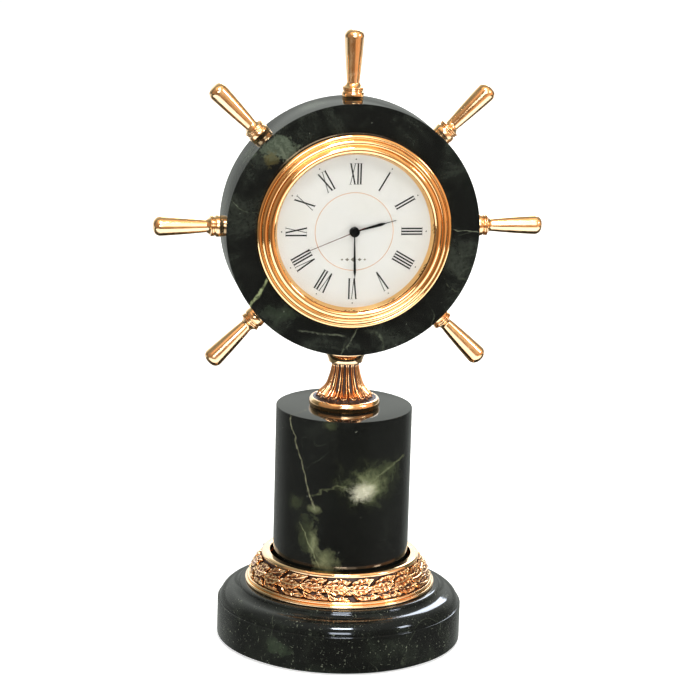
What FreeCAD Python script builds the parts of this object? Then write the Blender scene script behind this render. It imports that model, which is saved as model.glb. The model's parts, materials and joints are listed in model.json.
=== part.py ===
import FreeCAD, Part
import math
import os

import Sketcher
from FreeCAD import Placement, Rotation, Vector

# A ship's-wheel desk clock: a turned stone base and pillar, a fluted brass neck,
# and a stone wheel with seven brass handles that holds a push-in quartz insert.
# Frame: millimetres, +Z up, the dial looks along -Y, origin at the middle of the
# underside. Clock pieces are drawn about their own Z axis, which points out of
# the dial, with Z = 0 in the middle of the wheel's thickness.

# Driving dimensions: alias, value, meaning.
DIMENSIONS = [
    # base and pillar
    ("felt_radius", 44.0, "felt pad radius"),
    ("felt_thick", 1.0, "felt pad thickness"),
    ("plinth_radius", 46.0, "drum of the stone base"),
    ("plinth_step", 14.8, "height of the drum's top line"),
    ("plinth_top", 22.0, "height of the seat for pillar and ring"),
    ("plinth_seat", 37.0, "radius of that seat"),
    ("pillar_radius", 25.4, "stone pillar radius"),
    ("pillar_top", 90.3, "height of the pillar's top face"),
    ("ring_foot", 35.6, "wreath ring, lower rim radius"),
    ("ring_band_low", 24.4, "height where the wreath band starts"),
    ("ring_band_high", 32.2, "height where the wreath band ends"),
    ("ring_head", 29.0, "wreath ring, upper rim radius"),
    ("ring_top", 33.65, "height of the upper rim"),
    # tie rod and its fixings
    ("rod_radius", 3.0, "M6 tie rod"),
    ("rod_hole", 3.5, "clearance hole for the tie rod"),
    ("nut_recess", 13.0, "counterbore radius under the base"),
    ("nut_ceiling", 10.0, "height of the counterbore's end"),
    ("washer_radius", 9.0, "washer radius"),
    ("washer_thick", 1.5, "washer thickness"),
    ("nut_flats", 10.0, "M6 nut across flats"),
    ("nut_thick", 5.0, "M6 nut thickness"),
    # neck
    ("neck_foot", 13.25, "neck casting, foot radius"),
    ("neck_waist", 5.15, "neck casting, waist radius"),
    ("neck_joint", 107.2, "height where the collar starts"),
    ("collar_radius", 8.15, "neck collar, largest radius"),
    # wheel
    ("wheel_height", 158.6, "height of the dial centre"),
    ("wheel_radius", 46.75, "stone wheel radius"),
    ("wheel_thick", 22.0, "stone wheel thickness"),
    ("wheel_bore", 30.5, "bore for the clock insert"),
    ("bush_radius", 4.5, "threaded bush under the wheel"),
    ("bush_length", 11.5, "length of that bush"),
    # handles
    ("seat_depth", 0.35, "spot face under each ferrule"),
    ("ferrule_radius", 3.9, "handle ferrule radius"),
    ("ferrule_length", 3.65, "handle ferrule length up to its flange"),
    ("flange_radius", 4.25, "handle ferrule flange radius"),
    ("flange_thick", 0.8, "handle ferrule flange thickness"),
    ("bell_length", 2.1, "tapered foot of the grip"),
    ("grip_thin", 2.35, "thin end of the grip"),
    ("grip_thick", 3.6, "thick end of the grip"),
    ("handle_reach", 72.4, "handle tip from the dial centre"),
    ("stud_radius", 2.0, "M4 handle stud"),
    ("stud_depth", 9.5, "stud length in the stone"),
    ("stud_grip", 5.0, "stud length in the grip"),
    # insert: bezel, glass, dial, cup
    ("bezel_radius", 36.0, "gold bezel radius"),
    ("bezel_rise", 4.0, "bezel height in front of the wheel"),
    ("glass_radius", 30.15, "lens radius"),
    ("glass_thick", 1.2, "lens thickness"),
    ("lip_radius", 29.4, "opening of the bezel"),
    ("dial_radius", 28.9, "dial plate radius"),
    ("dial_thick", 0.4, "dial plate thickness"),
    ("dial_shown", 28.3, "radius of the dial left uncovered"),
    ("cup_radius", 29.6, "insert cup radius"),
    ("cup_wall", 1.4, "insert cup wall"),
    ("cup_back", -6.2, "rear face of the insert cup"),
    ("back_thick", 1.2, "rear wall of the insert cup"),
    ("rim_radius", 31.4, "cup flange radius"),
    ("rim_thick", 0.9, "cup flange thickness"),
    ("band_radius", 30.45, "rubber tension band radius over its ribs"),
    # movement
    ("plate_radius", 22.0, "movement main plate radius"),
    ("plate_low", 8.0, "rear face of the main plate"),
    ("plate_thick", 1.0, "main plate thickness"),
    ("bridge_low", 2.2, "rear face of the train bridge"),
    ("bridge_thick", 0.8, "train bridge thickness"),
    ("gear_thick", 0.4, "thickness of each toothed wheel"),
    ("pivot_radius", 0.25, "train arbor radius"),
    ("run_gap", 0.05, "radial running clearance"),
    ("seconds_radius", 0.4, "seconds arbor radius"),
    ("cannon_radius", 0.85, "minute pipe radius"),
    ("hour_radius", 1.3, "hour pipe radius"),
    ("setting_radius", 0.5, "setting arbor radius"),
    ("train_module", 0.18, "module of most of the train"),
    ("centre_module", 0.17, "module of the centre wheel"),
    ("minute_module", 0.275, "module of the minute pipe's pair"),
    ("hour_module", 0.264, "module of the hour wheel's pair"),
    ("cell_radius", 5.8, "button cell radius"),
    ("cell_thick", 5.4, "button cell thickness"),
    ("hatch_radius", 7.15, "battery hatch radius"),
    ("knob_radius", 4.0, "setting knob radius"),
    ("knob_thick", 3.2, "setting knob thickness"),
]

# Where the hands stand at rest, in degrees clockwise from twelve: 2:29:41.
HOUR_ANGLE = 74.8
MINUTE_ANGLE = 178.1
SECOND_ANGLE = 247.5

HANDLE_PLACES = [
    ("top", 0),
    ("upper_right", 45),
    ("right", 90),
    ("lower_right", 135),
    ("lower_left", 225),
    ("left", 270),
    ("upper_left", 315),
]

# Tooth counts: wheel, then pinion.
ROTOR_PINION = 10
FIFTH_WHEEL, FIFTH_PINION = 50, 10
SECOND_WHEEL, SECOND_PINION = 60, 8
THIRD_WHEEL, THIRD_PINION = 60, 8
CENTRE_WHEEL = 64
CANNON_PINION = 12
MOTION_WHEEL, MOTION_PINION = 36, 10
HOUR_WHEEL = 40

# Directions of the arbors from the dial centre, in degrees from +X.
THIRD_DIRECTION = 150
FIFTH_DIRECTION = 20
SETTING_DIRECTION = 270

# The button cell, the posts and the bridge's pillars, across the dial's plane.
CELL_PLACE = (-11.0, -12.5)
POST_PLACES = [(-8.0, 18.3), (-20.3, -4.5), (9.0, -18.0)]
BRIDGE_PLACES = [(-11.8, -1.5), (6.8, -4.5), (3.0, 8.6)]

doc = FreeCAD.newDocument("ship_wheel_desk_clock")
sheet = doc.addObject("Spreadsheet::Sheet", "Sizes")
for row, (alias, value, meaning) in enumerate(DIMENSIONS, start=1):
    sheet.set(f"A{row}", meaning)
    sheet.set(f"B{row}", str(value))
    sheet.setAlias(f"B{row}", alias)
doc.recompute()


class Size:
    """A length: its value now, and the expression that ties it to the sheet."""

    def __init__(self, value, text):
        self.value = float(value)
        self.text = text

    def __add__(self, other):
        other = as_size(other)
        return Size(self.value + other.value, f"({self.text} + {other.text})")

    def __sub__(self, other):
        other = as_size(other)
        return Size(self.value - other.value, f"({self.text} - {other.text})")

    def __mul__(self, factor):
        return Size(self.value * factor, f"({self.text} * {factor:.9g})")

    def __neg__(self):
        return self * -1


def as_size(number):
    """A plain number as a Size, so that both can be mixed in one outline."""
    if isinstance(number, Size):
        return number
    return Size(number, f"({float(number):.9g})")


class Sheet:
    """Reads the driving dimensions by name: D.pillar_radius."""

    def __getattr__(self, alias):
        return Size(sheet.get(alias), f"Sizes.{alias}")


D = Sheet()
PIECES = {}


def bind(item, prop, size):
    """Ties one property of an object to the sheet."""
    item.setExpression(prop, as_size(size).text)


def kept(label, item):
    """Registers an object as a finished piece under its label."""
    item.Label = label
    PIECES[label] = item
    return item


def origin_plane(body, role):
    return next(o for o in body.Origin.OriginFeatures if o.Role == role)


def arc_between(start, end, radius):
    """An arc from start to end of an outline that runs anticlockwise: a positive
    radius bulges out of the outline, a negative one is hollow. The arc itself
    always runs anticlockwise, so a hollow one is stored from end to start."""
    if radius < 0:
        start, end = end, start
    chord = end - start
    size = abs(radius)
    rise = math.sqrt(size * size - (chord.Length / 2) ** 2)
    inwards = Vector(-chord.y, chord.x, 0).normalize()
    centre = (start + end) * 0.5 + inwards * rise
    first, last = (math.atan2(p.y - centre.y, p.x - centre.x) for p in (start, end))
    if last < first:
        last += 2 * math.pi
    return Part.ArcOfCircle(Part.Circle(centre, Vector(0, 0, 1), size), first, last)


def outline_sketch(body, outline, plane="XZ_Plane", height=0):
    """A closed sketch through the outline's points. A point is (across, up), or
    (across, up, radius) where an arc leads to it. Every coordinate and radius
    is tied to the sheet."""
    sketch = body.newObject("Sketcher::SketchObject", f"{body.Name}_outline")
    sketch.AttachmentSupport = [(origin_plane(body, plane), "")]
    sketch.MapMode = "FlatFace"
    bind(sketch, ".AttachmentOffset.Base.z", height)
    points = [tuple(as_size(s) for s in point) for point in outline]
    spots = [Vector(p[0].value, p[1].value, 0) for p in points]
    for i, point in enumerate(points):
        start, end = spots[i - 1], spots[i]
        if len(point) == 3:
            edge = arc_between(start, end, point[2].value)
        else:
            edge = Part.LineSegment(start, end)
        sketch.addGeometry(edge, False)
    # the numbers of each edge's two ends, in the outline's direction
    hollow = [len(point) == 3 and point[2].value < 0 for point in points]
    ends = [(2, 1) if inward else (1, 2) for inward in hollow]
    for i, point in enumerate(points):
        after = (i + 1) % len(points)
        sketch.addConstraint(
            Sketcher.Constraint("Coincident", i, ends[i][1], after, ends[after][0])
        )
        place_point(sketch, i, ends[i][1], point)
    return sketch


def place_point(sketch, index, end, point):
    """Fixes one end of one edge at the outline's point."""
    for kind, axis, size in (("DistanceX", -2, point[0]), ("DistanceY", -1, point[1])):
        if abs(size.value) < 1e-9:
            sketch.addConstraint(
                Sketcher.Constraint("PointOnObject", index, end, axis)
            )
            continue
        number = sketch.addConstraint(
            Sketcher.Constraint(kind, -1, 1, index, end, size.value)
        )
        sketch.setExpression(f"Constraints[{number}]", size.text)
    if len(point) == 3:
        radius = abs(point[2].value)
        sign = -1 if point[2].value < 0 else 1
        number = sketch.addConstraint(Sketcher.Constraint("Radius", index, radius))
        sketch.setExpression(f"Constraints[{number}]", (point[2] * sign).text)


def new_body(name):
    return doc.addObject("PartDesign::Body", name)


def turned(name, outline):
    """A body turned about its own Z axis from an outline of (radius, height)."""
    body = new_body(name)
    sketch = outline_sketch(body, outline)
    turn = body.newObject("PartDesign::Revolution", f"{name}_turn")
    turn.Profile = sketch
    turn.ReferenceAxis = (sketch, ["V_Axis"])
    turn.Angle = 360
    return body


def padded(name, outline, low, high):
    """A flat body with an outline of (across, up), from height low to high."""
    body = new_body(name)
    pad_on(body, outline, low, high)
    return body


def pad_on(body, outline, low, high):
    sketch = outline_sketch(body, outline, "XY_Plane", low)
    pad = body.newObject("PartDesign::Pad", f"{body.Name}_pad")
    pad.Profile = sketch
    bind(pad, "Length", as_size(high) - low)
    return pad


def cylinder(name, radius, low, high, place=(0, 0)):
    """An upright cylinder between two heights."""
    item = doc.addObject("Part::Cylinder", name)
    bind(item, "Radius", radius)
    bind(item, "Height", as_size(high) - low)
    bind(item, ".Placement.Base.x", place[0])
    bind(item, ".Placement.Base.y", place[1])
    bind(item, ".Placement.Base.z", low)
    return item


def box(name, across, up, out):
    """A box between two corners: (low, high) along each axis."""
    item = doc.addObject("Part::Box", name)
    for side, letter, (low, high) in zip(
        ("Length", "Width", "Height"), "xyz", (across, up, out)
    ):
        bind(item, side, as_size(high) - low)
        bind(item, f".Placement.Base.{letter}", low)
    return item


def fused(name, items):
    item = doc.addObject("Part::MultiFuse", name)
    item.Shapes = items
    item.Refine = True
    return item


def cut(name, base, tools):
    """The base less every tool."""
    item = doc.addObject("Part::Cut", name)
    item.Base = base
    item.Tool = tools[0] if len(tools) == 1 else fused(f"{name}_tools", tools)
    item.Refine = True
    return item


def gathered(name, items):
    """Identical loose solids as one piece."""
    item = doc.addObject("Part::Compound", name)
    item.Links = items
    return item


def shaped(name, shape):
    """A piece whose shape is worked out here from the sheet's sizes."""
    item = doc.addObject("Part::Feature", name)
    item.Shape = shape
    return item


def at_wheel(item, angle=0):
    """Stands a clock piece in the wheel: its Z axis out of the dial, turned
    clockwise by the angle."""
    facing = Rotation(Vector(1, 0, 0), 90)
    item.Placement = Placement(Vector(), facing * Rotation(Vector(0, 0, 1), -angle))
    bind(item, ".Placement.Base.z", D.wheel_height)
    return item


def at_wheel_frame(item):
    """Stands a box or a cylinder that has its own place in the wheel."""
    return at_wheel(gathered(f"{item.Name}_set", [item]))


def at_spoke(item, angle):
    """Points a piece's Z axis out of the wheel at a clock angle."""
    item.Placement = Placement(Vector(), Rotation(Vector(0, 1, 0), angle))
    bind(item, ".Placement.Base.z", D.wheel_height)
    return item


def fixed_drum(name, radius, low, high):
    """A plain turned disc about the dial's axis."""
    return turned(name, [(0, low), (radius, low), (radius, high), (0, high)])


# ---------------------------------------------------------------- stand


def make_felt_pad():
    return cylinder("felt_pad_disc", D.felt_radius, 0, D.felt_thick)


def make_plinth():
    """A drum with a fine step, a rolled shoulder and a cove under the seat."""
    outline = [
        (D.rod_hole, D.nut_ceiling),
        (D.nut_recess, D.nut_ceiling),
        (D.nut_recess, D.felt_thick),
        (D.plinth_radius - 0.6, D.felt_thick),
        (D.plinth_radius, D.felt_thick + 0.6, 0.6),
        (D.plinth_radius, D.plinth_step - 0.4),
        (D.plinth_radius - 0.4, D.plinth_step),
        (D.plinth_radius - 0.7, D.plinth_step),
        (D.plinth_radius - 5.2, D.plinth_step + 4.6, 5.4),
        (D.plinth_seat + 1.2, D.plinth_top - 1.1, -4.6),
        (D.plinth_seat, D.plinth_top, 1.4),
        (D.rod_hole, D.plinth_top),
    ]
    return turned("plinth_body", outline)


def make_wreath_ring():
    """A hollow cast ring that slopes in from a stepped foot to a plain head."""
    outline = [
        (D.pillar_radius + 0.05, D.plinth_top),
        (D.ring_foot - 0.2, D.plinth_top),
        (D.ring_foot - 0.2, D.plinth_top + 1.3, 0.75),
        (D.ring_foot - 0.9, D.plinth_top + 1.3),
        (D.ring_foot - 0.9, D.ring_band_low, 0.65),
        (D.ring_foot - 1.5, D.ring_band_low),
        (D.ring_head + 0.5, D.ring_band_high),
        (D.ring_head + 0.7, D.ring_band_high),
        (D.ring_head - 0.5, D.ring_top, 1.2),
        (D.pillar_radius + 1.1, D.ring_top),
        (D.pillar_radius + 1.1, D.ring_top - 3),
        (D.ring_foot - 3.6, D.plinth_top + 1.5),
        (D.pillar_radius + 0.05, D.plinth_top + 1.5),
    ]
    return turned("wreath_ring_body", outline)


def make_pillar():
    outline = [
        (D.rod_hole, D.plinth_top),
        (D.pillar_radius, D.plinth_top),
        (D.pillar_radius, D.pillar_top - 0.3),
        (D.pillar_radius - 0.3, D.pillar_top),
        (D.rod_hole, D.pillar_top),
    ]
    return turned("pillar_body", outline)


def make_neck_casting():
    """A bell-shaped foot with a heavy rounded rim below a fluted skirt."""
    outline = [
        (D.rod_radius + 0.1, D.pillar_top),
        (D.neck_foot - 0.5, D.pillar_top),
        (D.neck_foot - 0.7, D.pillar_top + 3.3, 2.58),
        (D.neck_foot - 1.4, D.pillar_top + 3.4),
        (D.neck_waist + 1.9, D.pillar_top + 11, -14),
        (D.neck_waist, D.neck_joint - 1, -22),
        (D.neck_waist, D.neck_joint),
        (D.rod_radius + 0.1, D.neck_joint),
    ]
    return turned("neck_casting_body", outline)


def wheel_cylinder(name, radius, length):
    """A cylinder along the wheel's axis, for cutting pieces that meet it."""
    item = doc.addObject("Part::Cylinder", name)
    item.Placement = Placement(Vector(), Rotation(Vector(1, 0, 0), 90))
    bind(item, "Radius", radius)
    bind(item, "Height", length)
    bind(item, ".Placement.Base.y", as_size(length) * 0.5)
    bind(item, ".Placement.Base.z", D.wheel_height)
    return item


def make_neck_collar():
    """A flared collar whose head is hollowed to sit against the wheel's rim."""
    outline = [
        (D.rod_radius + 0.1, D.neck_joint),
        (D.collar_radius - 2.0, D.neck_joint),
        (D.collar_radius - 1.7, D.neck_joint + 0.5, 0.4),
        (D.collar_radius, D.neck_joint + 3.7, -5),
        (D.collar_radius, D.neck_joint + 5.6),
        (D.rod_radius + 0.1, D.neck_joint + 5.6),
    ]
    body = turned("neck_collar_body", outline)
    rim = wheel_cylinder("neck_collar_saddle", D.wheel_radius, D.wheel_thick * 2)
    return cut("neck_collar_cut", body, [rim])


def make_tie_rod():
    low = D.nut_ceiling - D.washer_thick - D.nut_thick - 1
    high = D.wheel_height - D.wheel_radius + D.bush_length - 0.5
    return cylinder("tie_rod_bar", D.rod_radius, low, high)


def make_tie_washer():
    low = D.nut_ceiling - D.washer_thick
    disc = cylinder("tie_washer_disc", D.washer_radius, low, D.nut_ceiling)
    hole = cylinder("tie_washer_hole", D.rod_radius + 0.2, low - 1, D.nut_ceiling + 1)
    return cut("tie_washer_cut", disc, [hole])


def make_tie_nut():
    high = D.nut_ceiling - D.washer_thick
    nut = doc.addObject("Part::Prism", "tie_nut_prism")
    nut.Polygon = 6
    bind(nut, "Circumradius", D.nut_flats * (1 / math.sqrt(3)))
    bind(nut, "Height", D.nut_thick)
    bind(nut, ".Placement.Base.z", high - D.nut_thick)
    hole = cylinder("tie_nut_hole", D.rod_radius, high - D.nut_thick - 1, high + 1)
    return cut("tie_nut_cut", nut, [hole])


def make_wheel_bush():
    low = D.wheel_height - D.wheel_radius + 0.4
    high = D.wheel_height - D.wheel_radius + D.bush_length
    tube = cylinder("wheel_bush_tube", D.bush_radius, low, high)
    hole = cylinder("wheel_bush_hole", D.rod_radius, low - 1, high + 1)
    return cut("wheel_bush_cut", tube, [hole])


def make_wheel_disc():
    """A thick stone ring, with a spot face and a stud hole for each handle and
    a hole below for the bush."""
    half = D.wheel_thick * 0.5
    edge = 0.25
    outline = [
        (D.wheel_bore, -half),
        (D.wheel_radius - edge, -half),
        (D.wheel_radius, as_size(edge) - half),
        (D.wheel_radius, half - edge),
        (D.wheel_radius - edge, half),
        (D.wheel_bore, half),
    ]
    ring = at_wheel(turned("wheel_disc_body", outline))
    seat = D.wheel_radius - D.seat_depth
    tools = []
    for place, angle in HANDLE_PLACES:
        face = (f"wheel_seat_{place}", D.ferrule_radius + 0.05, seat, D.wheel_radius + 1)
        hole = (f"wheel_hole_{place}", D.stud_radius, seat - D.stud_depth, seat + 0.5)
        tools.append(spoke_cylinder(*face, angle))
        tools.append(spoke_cylinder(*hole, angle))
    depth = D.wheel_radius - D.bush_length
    bush_hole = ("wheel_bush_bore", D.bush_radius, depth, D.wheel_radius + 1)
    tools.append(spoke_cylinder(*bush_hole, 180))
    return cut("wheel_disc_cut", ring, tools)


def spoke_cylinder(name, radius, low, high, angle):
    """A cylinder along a spoke, between two distances from the dial's axis."""
    item = doc.addObject("Part::Cylinder", name)
    spin = Rotation(Vector(0, 1, 0), angle)
    way = spin.multVec(Vector(0, 0, 1))
    item.Placement = Placement(Vector(), spin)
    bind(item, "Radius", radius)
    bind(item, "Height", as_size(high) - low)
    bind(item, ".Placement.Base.x", low * way.x)
    bind(item, ".Placement.Base.z", D.wheel_height + low * way.z)
    return item


def make_ferrule(place, angle):
    """A short collar with a thin flange, slipped over the handle's stud."""
    seat = D.wheel_radius - D.seat_depth
    top = seat + D.ferrule_length
    outline = [
        (D.stud_radius, seat),
        (D.ferrule_radius, seat),
        (D.ferrule_radius, top - 0.5),
        (D.ferrule_radius - 0.4, top, -0.6),
        (D.flange_radius - 0.2, top),
        (D.flange_radius - 0.2, top + D.flange_thick, 0.45),
        (D.stud_radius, top + D.flange_thick),
    ]
    return at_spoke(turned(f"ferrule_{place}_body", outline), angle)


def make_handle(place, angle):
    """A tapered foot and a long grip that swells towards its rounded end."""
    foot = D.wheel_radius - D.seat_depth + D.ferrule_length + D.flange_thick
    neck = foot + D.bell_length
    crown = D.handle_reach - D.grip_thick
    outline = [
        (0, foot + D.stud_grip),
        (D.stud_radius, foot + D.stud_grip),
        (D.stud_radius, foot),
        (D.flange_radius - 0.2, foot),
        (D.grip_thin, neck, -3.4),
        (D.grip_thick, crown, 90),
        (0, D.handle_reach, D.grip_thick),
    ]
    return at_spoke(turned(f"handle_{place}_body", outline), angle)


def make_handle_studs():
    """Seven equal threaded studs, one in each handle."""
    seat = D.wheel_radius - D.seat_depth
    high = seat + D.ferrule_length + D.flange_thick + D.stud_grip
    studs = []
    for place, angle in HANDLE_PLACES:
        stud = (f"stud_{place}", D.stud_radius, seat - D.stud_depth, high)
        studs.append(spoke_cylinder(*stud, angle))
    return gathered("handle_studs_group", studs)


# ---------------------------------------------------------------- insert

FACE = D.wheel_thick * 0.5
DIAL_TOP = FACE + D.dial_thick
GLASS_TOP = FACE + D.bezel_rise - 0.4
GLASS_LOW = GLASS_TOP - D.glass_thick


def make_bezel():
    """Three rolled ribs that climb from the outer edge to the opening."""
    outline = [
        (D.rim_radius + 0.1, FACE),
        (D.bezel_radius, FACE),
        (D.bezel_radius, FACE + 1.2),
        (D.bezel_radius - 1.65, FACE + 2.3, 1.15),
        (D.bezel_radius - 3.8, FACE + 3.3, 1.35),
        (D.lip_radius, FACE + D.bezel_rise, 1.7),
        (D.lip_radius, GLASS_TOP),
        (D.glass_radius + 0.02, GLASS_TOP),
        (D.glass_radius + 0.02, FACE + D.rim_thick),
        (D.rim_radius + 0.1, FACE + D.rim_thick),
    ]
    return at_wheel(turned("bezel_body", outline))


def make_lens():
    return at_wheel(fixed_drum("lens_disc", D.glass_radius, GLASS_LOW, GLASS_TOP))


def make_dial_ring():
    """The gold ring between dial and glass, tapering in to the dial."""
    outline = [
        (D.dial_shown, DIAL_TOP),
        (D.dial_radius, DIAL_TOP),
        (D.dial_radius, FACE + D.rim_thick),
        (D.glass_radius, FACE + D.rim_thick),
        (D.glass_radius, GLASS_LOW),
        (D.lip_radius - 0.1, GLASS_LOW),
    ]
    return at_wheel(turned("dial_ring_body", outline))


def make_dial():
    outline = [
        (D.hour_radius + 0.3, FACE),
        (D.dial_radius, FACE),
        (D.dial_radius, DIAL_TOP),
        (D.hour_radius + 0.3, DIAL_TOP),
    ]
    return at_wheel(turned("dial_body", outline))


def make_insert_cup():
    """A moulded cup with a flange for the bezel, a well for the button cell and
    holes for the hatch, the setting arbor and the screws."""
    inner = D.cup_radius - D.cup_wall
    floor = D.cup_back + D.back_thick
    outline = [
        (0, D.cup_back),
        (D.cup_radius - 1, D.cup_back),
        (D.cup_radius, D.cup_back + 1, 1),
        (D.cup_radius, FACE),
        (D.rim_radius, FACE),
        (D.rim_radius, FACE + D.rim_thick),
        (D.dial_radius, FACE + D.rim_thick),
        (D.dial_radius, FACE),
        (inner, FACE),
        (inner, floor),
        (0, floor),
    ]
    cup = turned("insert_cup_body", outline)
    well = cylinder(
        "cell_well", D.hatch_radius + 0.5, floor - 0.5, floor + D.cell_thick + 0.2, CELL_PLACE
    )
    tools = [
        cylinder("cell_room", D.cell_radius + 0.35, floor - 1, 3, CELL_PLACE),
        cylinder(
            "hatch_hole", D.hatch_radius + D.run_gap, D.cup_back - 1, floor, CELL_PLACE
        ),
        cylinder(
            "setting_hole",
            D.setting_radius + D.run_gap,
            D.cup_back - 1,
            floor + 1,
            polar_place(SETTING_REACH, SETTING_DIRECTION),
        ),
    ]
    for number, place in enumerate(POST_PLACES, start=1):
        tools.append(
            cylinder(f"cup_screw_hole_{number}", 0.6, D.cup_back - 1, floor + 1, place)
        )
    whole = fused("insert_cup_whole", [cup, well])
    return at_wheel(cut("insert_cup_cut", whole, tools))


def make_tension_band():
    """The rubber band, with three ribs, that grips the wheel's bore."""
    crest = D.band_radius
    root = D.band_radius - 0.4
    outline = [
        (D.cup_radius, -2),
        (root, -2),
        (crest, -1),
        (root, 0),
        (root, 2),
        (crest, 3),
        (root, 4),
        (root, 6),
        (crest, 7),
        (root, 8),
        (D.cup_radius, 8),
    ]
    return at_wheel(turned("tension_band_body", outline))


# ---------------------------------------------------------------- movement

PLATE_TOP = D.plate_low + D.plate_thick
CUP_FLOOR = D.cup_back + D.back_thick
SECONDS_TOP = DIAL_TOP + 1.5
CANNON_TOP = DIAL_TOP + 0.95
HOUR_TOP = DIAL_TOP + 0.55


def reach(module, wheel, pinion):
    """Distance between the centres of two meshed wheels."""
    return module.value * (wheel + pinion) / 2


THIRD_REACH = reach(D.train_module, THIRD_WHEEL, SECOND_PINION)
FIFTH_REACH = reach(D.train_module, SECOND_WHEEL, FIFTH_PINION)
ROTOR_STEP = reach(D.train_module, FIFTH_WHEEL, ROTOR_PINION)
SETTING_REACH = reach(D.minute_module, MOTION_WHEEL, CANNON_PINION)


def polar_place(distance, degrees):
    angle = math.radians(degrees)
    return (distance * math.cos(angle), distance * math.sin(angle))


THIRD_PLACE = polar_place(THIRD_REACH, THIRD_DIRECTION)
FIFTH_PLACE = polar_place(FIFTH_REACH, FIFTH_DIRECTION)
ROTOR_PLACE = polar_place(FIFTH_REACH + ROTOR_STEP, FIFTH_DIRECTION)
SETTING_PLACE = polar_place(SETTING_REACH, SETTING_DIRECTION)


def mesh_angle(own_teeth, partner_teeth, partner_angle, direction):
    """The angle of a wheel's first tooth when a partner, whose first tooth is at
    partner_angle and which lies in the opposite direction, is in mesh with it."""
    turn = (partner_angle - direction) * partner_teeth / own_teeth
    return direction + 180 + 180 / own_teeth - turn


def toothed(module, teeth, first, low, thick, place):
    """A toothed wheel: straight-flanked teeth, a little thin for backlash."""
    pitch = module.value * teeth / 2
    root = pitch - 1.3 * module.value
    tip = pitch + 0.9 * module.value
    step = 2 * math.pi / teeth
    corners = []
    for tooth in range(teeth):
        middle = math.radians(first) + tooth * step
        for radius, share in ((root, -0.30), (tip, -0.10), (tip, 0.10), (root, 0.30)):
            angle = middle + share * step
            corners.append(Vector(radius * math.cos(angle), radius * math.sin(angle), 0))
    corners.append(corners[0])
    blank = Part.Face(Part.makePolygon(corners)).extrude(Vector(0, 0, thick))
    blank.translate(Vector(place[0], place[1], low))
    return blank


def rod(radius, low, high, place):
    return Part.makeCylinder(radius, high - low, Vector(place[0], place[1], low))


def arbor_piece(name, wheels, rods, bore=None):
    """Toothed wheels and rods on one arbor as a single solid, with an optional
    bore of (radius, low, high, place)."""
    shape = wheels[0].multiFuse(wheels[1:] + rods) if wheels[1:] + rods else wheels[0]
    if bore:
        shape = shape.cut(rod(*bore))
    return at_wheel(shaped(name, shape.removeSplitter()))


# first-tooth angles, worked out along the train from the seconds arbor
SECOND_FIRST = 0
THIRD_FIRST = mesh_angle(THIRD_WHEEL, SECOND_PINION, SECOND_FIRST, THIRD_DIRECTION)
CENTRE_FIRST = mesh_angle(CENTRE_WHEEL, THIRD_PINION, 0, THIRD_DIRECTION + 180)
FIFTH_FIRST = mesh_angle(FIFTH_PINION, SECOND_WHEEL, SECOND_FIRST, FIFTH_DIRECTION)
ROTOR_FIRST = mesh_angle(ROTOR_PINION, FIFTH_WHEEL, 0, FIFTH_DIRECTION)
MOTION_FIRST = mesh_angle(MOTION_WHEEL, CANNON_PINION, 0, SETTING_DIRECTION)
HOUR_FIRST = mesh_angle(HOUR_WHEEL, MOTION_PINION, 0, SETTING_DIRECTION + 180)

# Rear faces of the toothed wheels, from the front of the train to its back.
HOUR_LEVEL = 10.1
MOTION_LEVEL = 9.3
CENTRE_LEVEL = 7.2
THIRD_LEVEL = 5.6
SECOND_LEVEL = 4.6
FIFTH_LEVEL = 3.6
PIVOT_TOP = 8.4
PIVOT_LOW = 2.6


def make_second_wheel():
    gear = D.gear_thick.value
    wheel = toothed(D.train_module, SECOND_WHEEL, SECOND_FIRST, SECOND_LEVEL, gear, (0, 0))
    pinion = toothed(
        D.train_module, SECOND_PINION, SECOND_FIRST, THIRD_LEVEL - 0.2, gear + 0.4, (0, 0)
    )
    arbor = rod(D.seconds_radius.value, PIVOT_LOW, SECONDS_TOP.value, (0, 0))
    return arbor_piece("second_wheel_arbor", [wheel, pinion], [arbor])


def make_third_wheel():
    gear = D.gear_thick.value
    wheel = toothed(
        D.train_module, THIRD_WHEEL, THIRD_FIRST, THIRD_LEVEL, gear, THIRD_PLACE
    )
    pinion = toothed(
        D.centre_module, THIRD_PINION, 0, CENTRE_LEVEL - 0.15, gear + 0.3, THIRD_PLACE
    )
    arbor = rod(D.pivot_radius.value, PIVOT_LOW, PIVOT_TOP, THIRD_PLACE)
    return arbor_piece("third_wheel_arbor", [wheel, pinion], [arbor])


def make_centre_wheel():
    """The wheel that drives the minute pipe by friction."""
    gear = D.gear_thick.value
    wheel = toothed(
        D.centre_module, CENTRE_WHEEL, CENTRE_FIRST, CENTRE_LEVEL, gear, (0, 0)
    )
    clear = D.cannon_radius.value + D.run_gap.value
    bore = (clear, CENTRE_LEVEL - 1, CENTRE_LEVEL + 1, (0, 0))
    return arbor_piece("centre_wheel_disc", [wheel], [], bore)


def make_fifth_wheel():
    gear = D.gear_thick.value
    wheel = toothed(D.train_module, FIFTH_WHEEL, 0, FIFTH_LEVEL, gear, FIFTH_PLACE)
    pinion = toothed(
        D.train_module, FIFTH_PINION, FIFTH_FIRST, SECOND_LEVEL - 0.1, gear + 0.2, FIFTH_PLACE
    )
    arbor = rod(D.pivot_radius.value, PIVOT_LOW, PIVOT_TOP, FIFTH_PLACE)
    return arbor_piece("fifth_wheel_arbor", [wheel, pinion], [arbor])


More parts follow.
